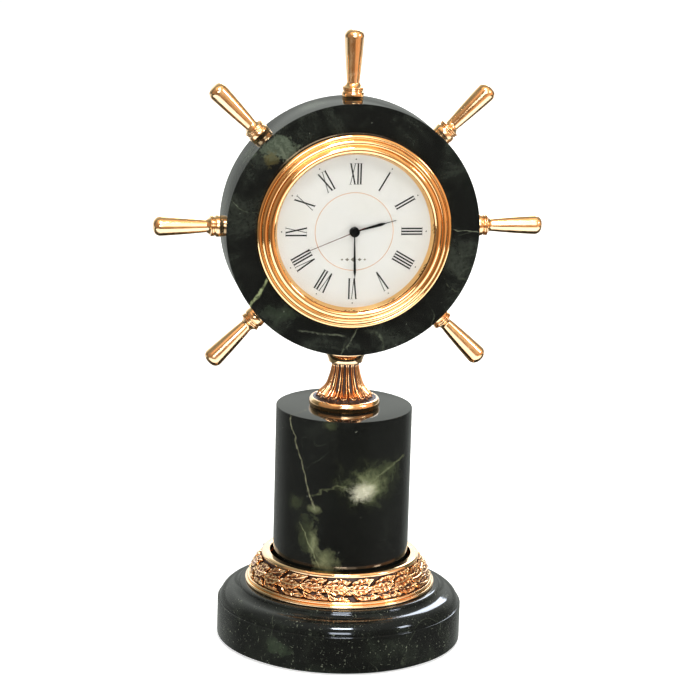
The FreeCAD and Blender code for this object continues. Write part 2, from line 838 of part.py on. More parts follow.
def make_rotor():
    """The step motor's magnet, with its pinion and arbor."""
    pinion = toothed(
        D.train_module, ROTOR_PINION, ROTOR_FIRST, FIFTH_LEVEL - 0.1, 0.6, ROTOR_PLACE
    )
    arbor = rod(D.pivot_radius.value, PIVOT_LOW, PIVOT_TOP, ROTOR_PLACE)
    magnet = rod(1.5, 4.6, 6.2, ROTOR_PLACE)
    return arbor_piece("rotor_arbor", [pinion], [arbor, magnet])


def make_cannon_pinion():
    """The minute pipe: friction seat behind the plate, pinion in front."""
    pinion = toothed(D.minute_module, CANNON_PINION, 0, PLATE_TOP.value + 0.15, 0.7, (0, 0))
    pipe = rod(D.cannon_radius.value, CENTRE_LEVEL - 0.2, CANNON_TOP.value, (0, 0))
    shoulder = rod(
        D.cannon_radius.value + 0.4, CENTRE_LEVEL - 0.5, CENTRE_LEVEL - 0.05, (0, 0)
    )
    clear = D.seconds_radius.value + D.run_gap.value
    bore = (clear, CENTRE_LEVEL - 1, CANNON_TOP.value + 1, (0, 0))
    return arbor_piece("cannon_pipe", [pinion], [pipe, shoulder], bore)


def make_motion_wheel():
    """Wheel and pinion on the long setting arbor that ends in the knob."""
    gear = D.gear_thick.value
    wheel = toothed(
        D.minute_module, MOTION_WHEEL, MOTION_FIRST, MOTION_LEVEL, gear, SETTING_PLACE
    )
    pinion = toothed(
        D.hour_module, MOTION_PINION, 0, MOTION_LEVEL + gear, 0.9, SETTING_PLACE
    )
    low = (D.cup_back - D.knob_thick - 0.4).value
    arbor = rod(D.setting_radius.value, low, MOTION_LEVEL + 1.5, SETTING_PLACE)
    return arbor_piece("motion_wheel_arbor", [wheel, pinion], [arbor])


def make_hour_wheel():
    gear = D.gear_thick.value
    wheel = toothed(D.hour_module, HOUR_WHEEL, HOUR_FIRST, HOUR_LEVEL, gear, (0, 0))
    pipe = rod(D.hour_radius.value, HOUR_LEVEL, HOUR_TOP.value, (0, 0))
    clear = D.cannon_radius.value + D.run_gap.value
    bore = (clear, HOUR_LEVEL - 1, HOUR_TOP.value + 1, (0, 0))
    return arbor_piece("hour_wheel_pipe", [wheel], [pipe], bore)


def make_main_plate():
    """A round plate with a pivot hole for every arbor."""
    disc = cylinder("main_plate_disc", D.plate_radius, D.plate_low, PLATE_TOP)
    tools = [
        cylinder("cannon_hole", D.cannon_radius + D.run_gap, D.plate_low - 1, PLATE_TOP + 1),
        cylinder(
            "plate_setting_hole",
            D.setting_radius + D.run_gap,
            D.plate_low - 1,
            PLATE_TOP + 1,
            SETTING_PLACE,
        ),
    ]
    arbors = (("third", THIRD_PLACE), ("fifth", FIFTH_PLACE), ("rotor", ROTOR_PLACE))
    for name, place in arbors:
        hole = D.pivot_radius + D.run_gap
        tools.append(
            cylinder(f"{name}_front_pivot", hole, D.plate_low - 1, PIVOT_TOP + 0.05, place)
        )
    return at_wheel(cut("main_plate_cut", disc, tools))


def make_movement_spacer():
    """The ring between the main plate and the dial."""
    outline = [
        (D.plate_radius - 1.5, PLATE_TOP),
        (D.plate_radius, PLATE_TOP),
        (D.plate_radius, FACE),
        (D.plate_radius - 1.5, FACE),
    ]
    return at_wheel(turned("movement_spacer_body", outline))


def make_train_bridge():
    """The plate behind the train, on three pillars."""
    top = D.bridge_low + D.bridge_thick
    edge = [
        (-13.4, -3.0),
        (7.6, -6.2),
        (13.2, 2.4),
        (13.2, 5.6),
        (4.0, 10.4),
        (1.4, 10.2),
        (-13.4, 1.0),
    ]
    items = [padded("train_bridge_body", edge, D.bridge_low, top)]
    tools = [
        cylinder(
            "seconds_rear_pivot", D.seconds_radius + D.run_gap, D.bridge_low - 1, top + 1
        )
    ]
    arbors = (("third", THIRD_PLACE), ("fifth", FIFTH_PLACE), ("rotor", ROTOR_PLACE))
    for name, place in arbors:
        hole = D.pivot_radius + D.run_gap
        tools.append(
            cylinder(f"{name}_rear_pivot", hole, D.bridge_low - 1, top + 1, place)
        )
    for number, place in enumerate(BRIDGE_PLACES, start=1):
        items.append(
            cylinder(f"bridge_pillar_{number}", 1.0, D.bridge_low, D.plate_low, place)
        )
        tools.append(
            cylinder(f"bridge_thread_{number}", 0.4, D.bridge_low - 1, 6.5, place)
        )
    whole = fused("train_bridge_whole", items)
    return at_wheel(cut("train_bridge_cut", whole, tools))


def screw(name, head_radius, head_thick, shank_radius, seat, depth, place):
    """A slotted screw whose head lies behind its seat."""
    head = cylinder(f"{name}_head", head_radius, as_size(seat) - head_thick, seat, place)
    shank = cylinder(f"{name}_shank", shank_radius, seat, as_size(seat) + depth, place)
    slot = box(
        f"{name}_slot",
        (place[0] - head_radius, place[0] + head_radius),
        (place[1] - head_radius * 0.15, place[1] + head_radius * 0.15),
        (as_size(seat) - head_thick - 0.1, as_size(seat) - head_thick * 0.6),
    )
    return cut(f"{name}_cut", fused(f"{name}_whole", [head, shank]), [slot])


def make_bridge_screws():
    screws = [
        screw(f"bridge_screw_{number}", 0.9, 0.7, 0.4, D.bridge_low, 3.5, place)
        for number, place in enumerate(BRIDGE_PLACES, start=1)
    ]
    return at_wheel(gathered("bridge_screws_group", screws))


def make_cup_screws():
    screws = [
        screw(f"cup_screw_{number}", 1.4, 0.8, 0.6, D.cup_back, 6.0, place)
        for number, place in enumerate(POST_PLACES, start=1)
    ]
    return at_wheel(gathered("cup_screws_group", screws))


def make_plate_posts():
    """Three tapped posts from the cup's floor to the main plate."""
    posts = []
    for number, place in enumerate(POST_PLACES, start=1):
        post = cylinder(f"post_{number}", 1.2, CUP_FLOOR, D.plate_low, place)
        hole = cylinder(f"post_hole_{number}", 0.6, CUP_FLOOR - 1, D.cup_back + 6, place)
        posts.append(cut(f"post_{number}_cut", post, [hole]))
    return at_wheel(gathered("plate_posts_group", posts))


def make_stator():
    """The C-shaped iron plate round the rotor."""
    edge = [
        (8.6, -6.0),
        (19.6, -6.0),
        (19.6, -3.4),
        (13.4, -3.4),
        (13.4, 9.4),
        (19.6, 9.4),
        (19.6, 12.0),
        (8.6, 12.0),
    ]
    plate = padded("stator_body", edge, 4.9, 5.9)
    hole = cylinder("stator_hole", 1.75, 4, 7, ROTOR_PLACE)
    return at_wheel(cut("stator_cut", plate, [hole]))


def make_coil_core():
    return at_wheel_frame(box("coil_core_bar", (16.0, 18.6), (-6.0, 12.0), (3.9, 4.9)))


def make_coil_winding():
    """Copper wire on the core, as one sleeve."""
    sleeve = doc.addObject("Part::Cylinder", "coil_sleeve")
    sleeve.Placement = Placement(Vector(17.3, 8.6, 4.4), Rotation(Vector(1, 0, 0), 90))
    sleeve.Radius = 2.4
    sleeve.Height = 11.2
    room = box("coil_room", (16.0, 18.6), (-6.0, 12.0), (3.9, 4.9))
    return at_wheel(cut("coil_winding_cut", sleeve, [room]))


def make_circuit_board():
    thick = D.plate_low - 0.8
    return at_wheel_frame(box("circuit_board_card", (-20, -13.5), (-1, 9), (thick, D.plate_low)))


def make_quartz_can():
    can = doc.addObject("Part::Cylinder", "quartz_can_tube")
    can.Placement = Placement(Vector(-16, 8, 6.2), Rotation(Vector(1, 0, 0), 90))
    can.Radius = 1.0
    can.Height = 6.0
    return at_wheel_frame(can)


def make_battery():
    """A button cell: a can with a narrower cap towards the dial."""
    low = CUP_FLOOR + 0.4
    can = cylinder("cell_can", D.cell_radius, low, low + D.cell_thick - 0.8, CELL_PLACE)
    cap = cylinder(
        "cell_cap", D.cell_radius - 0.7, low + D.cell_thick - 0.8, low + D.cell_thick, CELL_PLACE
    )
    return at_wheel(fused("battery_whole", [can, cap]))


def make_contact_minus():
    """A leaf across the cell's cap and up to the circuit board."""
    cap = CUP_FLOOR + 0.4 + D.cell_thick
    board = D.plate_low - 0.8
    leaf = box("minus_leaf", (-15.4, -13.4), (-13.5, 0), (cap, cap + 0.3))
    riser = box("minus_riser", (-15.4, -13.5), (-0.3, 0), (cap, board))
    return at_wheel(fused("contact_minus_whole", [leaf, riser]))


def make_contact_plus():
    """A strip beside the cell and up to the circuit board."""
    side = CELL_PLACE[0] - 5.8
    board = D.plate_low - 0.8
    blade = box("plus_blade", (side - 0.2, side), (-13.5, -11.5), (-2, 1.9))
    run = box("plus_run", (side - 1.7, side), (-13.5, -0.6), (1.7, 1.9))
    riser = box("plus_riser", (side - 1.7, side - 0.2), (-0.8, -0.6), (1.7, board))
    return at_wheel(fused("contact_plus_whole", [blade, run, riser]))


def make_battery_hatch():
    """A push-fit round hatch with a finger slot, seated on the well's rim."""
    disc = cylinder("hatch_disc", D.hatch_radius, D.cup_back, CUP_FLOOR, CELL_PLACE)
    boss = cylinder("hatch_boss", D.cell_radius, CUP_FLOOR, CUP_FLOOR + 0.35, CELL_PLACE)
    slot = box(
        "hatch_slot",
        (CELL_PLACE[0] - 4.5, CELL_PLACE[0] + 4.5),
        (CELL_PLACE[1] - 0.7, CELL_PLACE[1] + 0.7),
        (D.cup_back - 0.5, D.cup_back + 0.6),
    )
    whole = fused("battery_hatch_whole", [disc, boss])
    return at_wheel(cut("battery_hatch_cut", whole, [slot]))


def make_set_knob():
    """A knurled knob on the setting arbor."""
    high = D.cup_back - 0.5
    low = high - D.knob_thick
    tools = [cylinder("knob_bore", D.setting_radius, low - 1, high + 1, SETTING_PLACE)]
    disc = cylinder("knob_disc", D.knob_radius, low, high, SETTING_PLACE)
    flutes = 18
    for number in range(flutes):
        x, y = polar_place(D.knob_radius.value + 0.15, number * 360 / flutes)
        place = (SETTING_PLACE[0] + x, SETTING_PLACE[1] + y)
        tools.append(cylinder(f"knob_flute_{number}", 0.45, low - 1, high + 1, place))
    return at_wheel(cut("set_knob_cut", disc, tools))


# ---------------------------------------------------------------- hands


def hand(name, blade, collet, bore, low, high, angle):
    """A flat hand that points up its own Y axis: a blade and a round collet."""
    body = padded(f"{name}_blade", blade, low, high)
    boss = cylinder(f"{name}_collet", collet, low, high)
    hole = cylinder(f"{name}_bore", bore, as_size(low) - 1, as_size(high) + 1)
    whole = fused(f"{name}_whole", [body, boss])
    return at_wheel(cut(f"{name}_cut", whole, [hole]), angle)


def make_hour_hand():
    blade = [(-0.3, 0), (0.3, 0), (0.3, 3), (0.55, 10.1), (0.14, 12), (0.1, 15.9)]
    blade += [(-0.1, 15.9), (-0.14, 12), (-0.55, 10.1), (-0.3, 3)]
    return hand(
        "hour_hand", blade, D.hour_radius + 0.55, D.hour_radius, HOUR_TOP - 0.2, HOUR_TOP, HOUR_ANGLE
    )


def make_minute_hand():
    blade = [(-0.22, 0), (0.22, 0), (0.22, 3), (0.45, 15), (0.12, 16.6), (0.08, 18.9)]
    blade += [(-0.08, 18.9), (-0.12, 16.6), (-0.45, 15), (-0.22, 3)]
    return hand(
        "minute_hand",
        blade,
        D.cannon_radius + 0.75,
        D.cannon_radius,
        CANNON_TOP - 0.2,
        CANNON_TOP,
        MINUTE_ANGLE,
    )


def make_second_hand():
    blade = [(-0.16, -4.2), (0.16, -4.2), (0.09, 19.4), (-0.09, 19.4)]
    return hand(
        "second_hand",
        blade,
        D.seconds_radius + 0.6,
        D.seconds_radius,
        SECONDS_TOP - 0.3,
        SECONDS_TOP - 0.15,
        SECOND_ANGLE,
    )


def make_second_cap():
    """The round cap over the hub of the seconds hand."""
    outline = [
        (0, SECONDS_TOP),
        (D.seconds_radius, SECONDS_TOP),
        (D.seconds_radius, SECONDS_TOP - 0.15),
        (1.6, SECONDS_TOP - 0.15),
        (1.85, SECONDS_TOP + 0.1, 0.25),
        (1.6, SECONDS_TOP + 0.35, 0.25),
        (0, SECONDS_TOP + 0.35),
    ]
    return at_wheel(turned("second_cap_body", outline))


kept("felt_pad", make_felt_pad())
kept("plinth", make_plinth())
kept("wreath_ring", make_wreath_ring())
kept("pillar", make_pillar())
kept("neck_casting", make_neck_casting())
kept("neck_collar", make_neck_collar())
kept("tie_rod", make_tie_rod())
kept("tie_washer", make_tie_washer())
kept("tie_nut", make_tie_nut())
kept("wheel_bush", make_wheel_bush())
kept("wheel_disc", make_wheel_disc())
for place, angle in HANDLE_PLACES:
    kept(f"ferrule_{place}", make_ferrule(place, angle))
    kept(f"handle_{place}", make_handle(place, angle))
kept("handle_studs", make_handle_studs())
kept("bezel", make_bezel())
kept("lens", make_lens())
kept("dial_ring", make_dial_ring())
kept("dial", make_dial())
kept("insert_cup", make_insert_cup())
kept("tension_band", make_tension_band())
kept("movement_spacer", make_movement_spacer())
kept("main_plate", make_main_plate())
kept("train_bridge", make_train_bridge())
kept("plate_posts", make_plate_posts())
kept("cup_screws", make_cup_screws())
kept("bridge_screws", make_bridge_screws())
kept("stator", make_stator())
kept("coil_core", make_coil_core())
kept("coil_winding", make_coil_winding())
kept("circuit_board", make_circuit_board())
kept("quartz_can", make_quartz_can())
kept("battery", make_battery())
kept("contact_minus", make_contact_minus())
kept("contact_plus", make_contact_plus())
kept("battery_hatch", make_battery_hatch())
kept("rotor", make_rotor())
kept("fifth_wheel", make_fifth_wheel())
kept("second_wheel", make_second_wheel())
kept("third_wheel", make_third_wheel())
kept("centre_wheel", make_centre_wheel())
kept("cannon_pinion", make_cannon_pinion())
kept("motion_wheel", make_motion_wheel())
kept("hour_wheel", make_hour_wheel())
kept("set_knob", make_set_knob())
kept("hour_hand", make_hour_hand())
kept("minute_hand", make_minute_hand())
kept("second_hand", make_second_hand())
kept("second_cap", make_second_cap())

doc.recompute()
for item in doc.Objects:
    if {"Invalid", "Error"} & set(item.State):
        raise RuntimeError(f"{item.Name} failed: {item.State}")
for label, item in PIECES.items():
    if item.Shape.isNull() or not item.Shape.isValid():
        raise RuntimeError(f"{label} has no valid shape")

os.makedirs("parts", exist_ok=True)
for label, item in PIECES.items():
    item.Shape.exportStep(f"parts/{label}.step")
print(f"{len(PIECES)} pieces written")
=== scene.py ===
"""Looks of the ship's-wheel desk clock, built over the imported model's frame.

Shapes are worked out in millimetres; Seat.place turns them into metres in the
model's frame, where x runs to the right of the dial's reader, y away from the
reader and z up.
"""

from __future__ import annotations

import json
import logging
import math
from dataclasses import dataclass, field
from enum import Enum

import bmesh
import bpy
import numpy as np
from mathutils import Matrix, Vector

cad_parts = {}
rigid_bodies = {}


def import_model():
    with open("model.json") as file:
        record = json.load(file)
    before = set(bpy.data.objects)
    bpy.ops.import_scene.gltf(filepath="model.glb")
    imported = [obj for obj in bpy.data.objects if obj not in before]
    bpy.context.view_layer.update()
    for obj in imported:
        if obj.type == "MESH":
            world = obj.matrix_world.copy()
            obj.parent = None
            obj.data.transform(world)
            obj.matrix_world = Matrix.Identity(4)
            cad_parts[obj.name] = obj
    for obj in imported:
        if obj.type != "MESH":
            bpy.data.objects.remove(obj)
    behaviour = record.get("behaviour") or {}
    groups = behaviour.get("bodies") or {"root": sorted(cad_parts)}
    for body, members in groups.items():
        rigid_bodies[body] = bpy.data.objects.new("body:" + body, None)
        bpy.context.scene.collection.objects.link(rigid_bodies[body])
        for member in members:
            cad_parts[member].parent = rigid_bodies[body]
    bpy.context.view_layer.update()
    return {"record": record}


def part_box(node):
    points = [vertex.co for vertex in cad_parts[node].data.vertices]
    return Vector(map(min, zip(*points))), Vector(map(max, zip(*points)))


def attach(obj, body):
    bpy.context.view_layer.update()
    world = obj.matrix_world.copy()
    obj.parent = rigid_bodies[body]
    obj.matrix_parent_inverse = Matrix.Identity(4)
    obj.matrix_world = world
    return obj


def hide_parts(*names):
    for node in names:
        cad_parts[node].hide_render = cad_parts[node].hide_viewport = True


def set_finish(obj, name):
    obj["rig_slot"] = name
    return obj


log = logging.getLogger("desk_clock")

Array = np.ndarray
Point = tuple[float, float, float]
Colour = tuple[float, float, float, float]

MM = 0.001
TURN = 2 * math.pi
DOUBLE_GAP = 4e-7  # metres: points nearer than this are one point
CORNER_TURN = 24.0  # degrees: an outline that turns more has a corner to round
CORNER_STEPS = 5
EASED_EDGE = 35.0  # degrees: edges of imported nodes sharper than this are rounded


class Slot(str, Enum):
    """The record's material slots."""

    FELT = "felt"
    STONE = "green_stone"
    PATINATED = "patinated_brass"
    POLISHED = "polished_brass"
    GOLD = "gold_plate"
    STEEL = "steel"
    BRASS = "brass"
    GLASS = "clear_glass"
    ENAMEL = "dial_enamel"
    BLACK_PLASTIC = "black_plastic"
    RUBBER = "rubber_band"
    WHITE_PLASTIC = "white_plastic"
    MAGNET = "magnet"
    COPPER = "copper_wire"
    BOARD = "green_board"
    BLACK_HAND = "black_hand"
    RED_HAND = "dark_red_hand"


class Body(str, Enum):
    """The bodies that the new pieces ride on."""

    STAND = "stand"
    INSERT = "insert"
    HATCH = "hatch"
    SETTING = "setting"


# ------------------------------------------------------------------ surfaces


@dataclass(frozen=True)
class Seat:
    """Where a piece stands: its origin and the directions of its three axes."""

    origin: Point = (0.0, 0.0, 0.0)
    across: Point = (1.0, 0.0, 0.0)
    up: Point = (0.0, 1.0, 0.0)
    out: Point = (0.0, 0.0, 1.0)

    def place(self, x: Array, y: Array, z: Array) -> Array:
        """Points in metres: origin + x * across + y * up + z * out."""
        spots = np.stack(np.broadcast_arrays(x, y, z), -1)
        axes = np.array([self.across, self.up, self.out])
        return (np.array(self.origin) + spots @ axes) * MM

    @staticmethod
    def dial() -> "Seat":
        """The dial's seat: its z axis points out of the dial, at the reader."""
        low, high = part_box("wheel_disc")
        middle = (low + high) / (2 * MM)
        return Seat(tuple(middle), (1, 0, 0), (0, 0, 1), (0, -1, 0))

    @staticmethod
    def spoke(degrees: float) -> "Seat":
        """A seat whose z axis runs out along a spoke of the wheel.

        Args:
            degrees: The spoke's angle, clockwise from the top.

        Returns:
            The seat.
        """
        hub = Seat.dial().origin
        s, c = math.sin(math.radians(degrees)), math.cos(math.radians(degrees))
        return Seat(hub, (c, 0, -s), (0, 1, 0), (s, 0, c))


@dataclass
class Outline:
    """The half section of a turned piece as (radius, height), anticlockwise."""

    start: tuple[float, float]
    runs: list[Array] = field(default_factory=list)

    def _last(self) -> Array:
        """The point that the outline has reached."""
        return self.runs[-1][-1] if self.runs else np.array(self.start, float)

    def line(self, radius: float, height: float) -> "Outline":
        """Goes straight on to a point."""
        self.runs.append(np.array([[radius, height]], float))
        return self

    def arc(
        self, radius: float, height: float, bend: float, steps: int = 12
    ) -> "Outline":
        """Goes on to a point along an arc: centre + bend * (cos, sin) of an angle
        that runs evenly from one end to the other.

        Args:
            radius: The end's distance from the axis.
            height: The end's height.
            bend: The arc's radius; positive bulges outwards, negative is hollow.
            steps: How many pieces the arc is cut into.

        Returns:
            The outline itself.
        """
        first, last = self._last(), np.array([radius, height], float)
        chord = last - first
        long = float(np.hypot(*chord))
        rise = math.sqrt(max(bend * bend - long * long / 4, 0.0))
        left = np.array([-chord[1], chord[0]]) / long
        centre = (first + last) / 2 + left * math.copysign(rise, bend)
        begin = math.atan2(*(first - centre)[::-1])
        sweep = math.atan2(*(last - centre)[::-1]) - begin
        sweep = sweep % TURN if bend > 0 else -((-sweep) % TURN)
        angle = begin + sweep * np.linspace(0, 1, steps + 1)[1:]
        curve = centre + abs(bend) * np.stack([np.cos(angle), np.sin(angle)], -1)
        self.runs.append(curve)
        return self

    def section(self, ease: float = 0.12, closed: bool = True) -> Array:
        """The outline's points with its sharp corners rounded: a corner C between
        A and B becomes (1-t)^2 A + 2t(1-t) C + t^2 B, for A and B on its edges.

        Args:
            ease: How far from a corner its rounding starts.
            closed: Whether the last point is joined to the first.

        Returns:
            The points, one row each.
        """
        raw = np.vstack([np.array([self.start], float), *self.runs])
        back, fore = np.roll(raw, 1, 0) - raw, np.roll(raw, -1, 0) - raw
        span_back = np.hypot(*back.T)[:, None] + 1e-9
        span_fore = np.hypot(*fore.T)[:, None] + 1e-9
        straight = -np.sum(back * fore, 1) / (span_back * span_fore)[:, 0]
        sharp = straight < math.cos(math.radians(CORNER_TURN))
        if not closed:
            sharp[[0, -1]] = False
        reach = np.minimum(ease, 0.42 * np.minimum(span_back, span_fore))
        reach = reach * sharp[:, None]
        a, b = raw + back / span_back * reach, raw + fore / span_fore * reach
        t = np.linspace(0, 1, CORNER_STEPS)[None, :, None]
        curve = (1 - t) ** 2 * a[:, None] + 2 * t * (1 - t) * raw[:, None]
        points = (curve + t**2 * b[:, None]).reshape(-1, 2)
        gap = np.hypot(*(points - np.roll(points, 1, 0)).T) > 1e-6
        gap[0] = True
        return points[gap]


def around(columns: int, start: float = 0.0) -> Array:
    """The angles, in radians, of so many columns that stand evenly round an axis."""
    return np.arange(columns) * TURN / columns + start


def swept(radius: Array, height: Array, angle: Array, seat: Seat) -> Array:
    """Points round an axis: (r cos a, r sin a, h).

    Args:
        radius: The distance from the axis, by row and, if it varies, by column.
        height: The height, in the same way.
        angle: Each column's angle.
        seat: Where the axis stands.

    Returns:
        The points in metres, rows by columns by three.
    """
    return seat.place(radius * np.cos(angle), radius * np.sin(angle), height)


def turned(section: Array, seat: Seat, sectors: int) -> Array:
    """A surface of revolution: each section point (r, h) carried round the axis.

    Args:
        section: The section's points, anticlockwise so that faces look outwards.
        seat: Where the turning axis stands.
        sectors: How many columns go round.

    Returns:
        A grid of points, one row for each section point.
    """
    return swept(section[:, :1], section[:, 1:], around(sectors), seat)


def softened(height: Array, spread: tuple[float, float]) -> Array:
    """A height map blurred by a bell curve: its Fourier transform times
    exp(-2 (pi f spread)^2) along both axes, with the rows mirrored at their ends.

    Args:
        height: The map; its columns go round and close on themselves.
        spread: The blur's width along the rows' and the columns' direction.

    Returns:
        The blurred map.
    """
    doubled = np.vstack([height, height[::-1]])
    rows = np.fft.fftfreq(doubled.shape[0])[:, None]
    cols = np.fft.rfftfreq(doubled.shape[1])[None, :]
    damp = (rows * spread[0]) ** 2 + (cols * spread[1]) ** 2
    waves = np.fft.rfft2(doubled) * np.exp(-2 * math.pi**2 * damp)
    return np.fft.irfft2(waves, doubled.shape)[: height.shape[0]]


def step(values: Array, low: float, high: float) -> Array:
    """A smooth step: 3t^2 - 2t^3 as the values go from low to high."""
    t = np.clip((values - low) / (high - low), 0, 1)
    return t * t * (3 - 2 * t)


class Shell:
    """One piece's surfaces, gathered as arrays and made into a mesh."""

    def __init__(self, name: str) -> None:
        """Starts an empty piece."""
        self.name = name
        self.points: list[Array] = []
        self.quads: list[Array] = []
        self.depths: list[Array] = []
        self.count = 0

    def grid(
        self,
        points: Array,
        wrap_rows: bool = False,
        wrap_cols: bool = True,
        depth: Array | None = None,
    ) -> "Shell":
        """Adds a surface given on a grid, with a quad between each four points.

        Args:
            points: The grid, rows by columns by three.
            wrap_rows: Whether the last row joins the first.
            wrap_cols: Whether the last column joins the first.
            depth: How far each point stands out of its surroundings, 0 to 1.

        Returns:
            The shell itself.
        """
        rows, cols = points.shape[:2]
        index = np.arange(rows * cols).reshape(rows, cols) + self.count
        if wrap_rows:
            index = np.vstack([index, index[:1]])
        if wrap_cols:
            index = np.hstack([index, index[:, :1]])
        corners = [index[:-1, :-1], index[:-1, 1:], index[1:, 1:], index[1:, :-1]]
        self.quads.append(np.stack(corners, -1).reshape(-1, 4))
        self.points.append(points.reshape(-1, 3))
        level = np.full((rows, cols), 0.5) if depth is None else depth
        self.depths.append(level.reshape(-1))
        self.count += rows * cols
        return self

    def slabs(self, shapes: Array, low: float, high: float, seat: Seat) -> "Shell":
        """Adds flat four-cornered slabs: each outline at its low and high level,
        joined all round.

        Args:
            shapes: Slabs by four corners by two, anticlockwise seen from the top.
            low: The level of their undersides.
            high: The level of their tops.
            seat: Where they lie.

        Returns:
            The shell itself.
        """
        x, y = shapes[..., 0], shapes[..., 1]
        ends = [seat.place(x, y, np.full_like(x, level)) for level in (low, high)]
        points = np.concatenate(ends, 1)
        sides = [[0, 1, 5, 4], [1, 2, 6, 5], [2, 3, 7, 6], [3, 0, 4, 7]]
        faces = np.array([[3, 2, 1, 0], [4, 5, 6, 7], *sides])
        base = self.count + 8 * np.arange(len(shapes))[:, None, None]
        self.quads.append((faces[None] + base).reshape(-1, 4))
        self.points.append(points.reshape(-1, 3))
        self.depths.append(np.full(8 * len(shapes), 0.5))
        self.count += 8 * len(shapes)
        return self

    def mesh(self, sharp: float = 38.0) -> bpy.types.Mesh:
        """The finished mesh: doubles merged, smooth but for its sharp edges.

        Args:
            sharp: The angle in degrees past which an edge stays sharp.

        Returns:
            The mesh.
        """
        made = bpy.data.meshes.new(self.name)
        points, quads = np.concatenate(self.points), np.concatenate(self.quads)
        made.vertices.add(len(points))
        made.vertices.foreach_set("co", points.astype(np.float32).ravel())
        made.loops.add(quads.size)
        made.loops.foreach_set("vertex_index", quads.astype(np.int32).ravel())
        made.polygons.add(len(quads))
        made.polygons.foreach_set("loop_start", np.arange(0, quads.size, 4))
        made.update(calc_edges=True)
        level = made.attributes.new("depth", "FLOAT", "POINT")
        level.data.foreach_set("value", np.concatenate(self.depths).astype(np.float32))
        merged(made)
        made.shade_smooth()
        made.set_sharp_from_angle(angle=math.radians(sharp))
        return made


def turned_mesh(
    name: str, section: Array, seat: Seat, sectors: int, hollow: bool = True
) -> bpy.types.Mesh:
    """The mesh of a turned piece.

    Args:
        name: The mesh's name.
        section: Its section, anticlockwise.
        seat: Where the turning axis stands.
        sectors: How many columns go round.
        hollow: Whether the section closes on itself round a bore, and doesn't start
            and end on the axis.

    Returns:
        The mesh.
    """
    return Shell(name).grid(turned(section, seat, sectors), wrap_rows=hollow).mesh()


def merged(mesh: bpy.types.Mesh, flat: float = 0.0) -> None:
    """Merges a mesh's doubled points, and its flat neighbours if asked.

    Args:
        mesh: The mesh to tidy.
        flat: Faces that meet within this many degrees are joined.
    """
    work = bmesh.new()
    work.from_mesh(mesh)
    bmesh.ops.remove_doubles(work, verts=work.verts, dist=DOUBLE_GAP)
    if flat:
        bmesh.ops.dissolve_limit(
            work,
            angle_limit=math.radians(flat),
            verts=work.verts,
            edges=work.edges,
        )
    work.to_mesh(mesh)
    work.free()


def piece(
    mesh: bpy.types.Mesh,
    body: Body,
    slot: Slot,
    material: bpy.types.Material,
    *nodes: str,
) -> bpy.types.Object:
    """Puts a mesh into the scene as a piece that rides on a body.

    Args:
        mesh: The piece's mesh, already in its place.
        body: The body it moves with.
        slot: The record's slot that it takes its finish from.
        material: Its material.
        nodes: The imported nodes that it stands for.

    Returns:
        The new object.
    """
    made = bpy.data.objects.new(mesh.name, mesh)
    bpy.context.scene.collection.objects.link(made)
    mesh.materials.clear()
    mesh.materials.append(material)
    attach(made, body.value)
    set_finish(made, slot.value)
    if nodes:
        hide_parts(*nodes)
    log.info("made %s: %d faces on %s", made.name, len(mesh.polygons), body.value)
    return made


def eased_copy(node: str, name: str, width: float, flat: float = 1.0) -> bpy.types.Mesh:
    """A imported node's shape with its doubles merged and its edges rounded over.

    Args:
        node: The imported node.
        name: The new mesh's name.
        width: How wide the rounding of an edge is, in millimetres.
        flat: The angle in degrees within which faces count as one flat face.

    Returns:
        The new mesh.
    """
    source = bpy.data.objects[node]
    copy = bpy.data.objects.new(name, source.data.copy())
    copy.data.name = name
    bpy.context.scene.collection.objects.link(copy)
    merged(copy.data, flat)
    copy.data.shade_smooth()
    round_over = copy.modifiers.new("round_over", "BEVEL")
    round_over.width = width * MM
    round_over.segments = 2
    round_over.limit_method = "ANGLE"
    round_over.angle_limit = math.radians(EASED_EDGE)
    weigh = copy.modifiers.new("weigh", "WEIGHTED_NORMAL")
    weigh.weight = 100
    graph = bpy.context.evaluated_depsgraph_get()
    made = bpy.data.meshes.new_from_object(copy.evaluated_get(graph))
    bpy.data.objects.remove(copy)
    made.name = name
    return made


# ----------------------------------------------------------------- materials


def tint(red: float, green: float, blue: float) -> Colour:
    """A colour as light.

    Args:
        red: Its red on a screen, 0 to 255.
        green: Its green.
        blue: Its blue.

    Returns:
        The colour with full opacity.
    """
    steps = np.array([red, green, blue]) / 255
    light = np.where(steps <= 0.04045, steps / 12.92, ((steps + 0.055) / 1.055) ** 2.4)
    return (*(float(v) for v in light), 1.0)


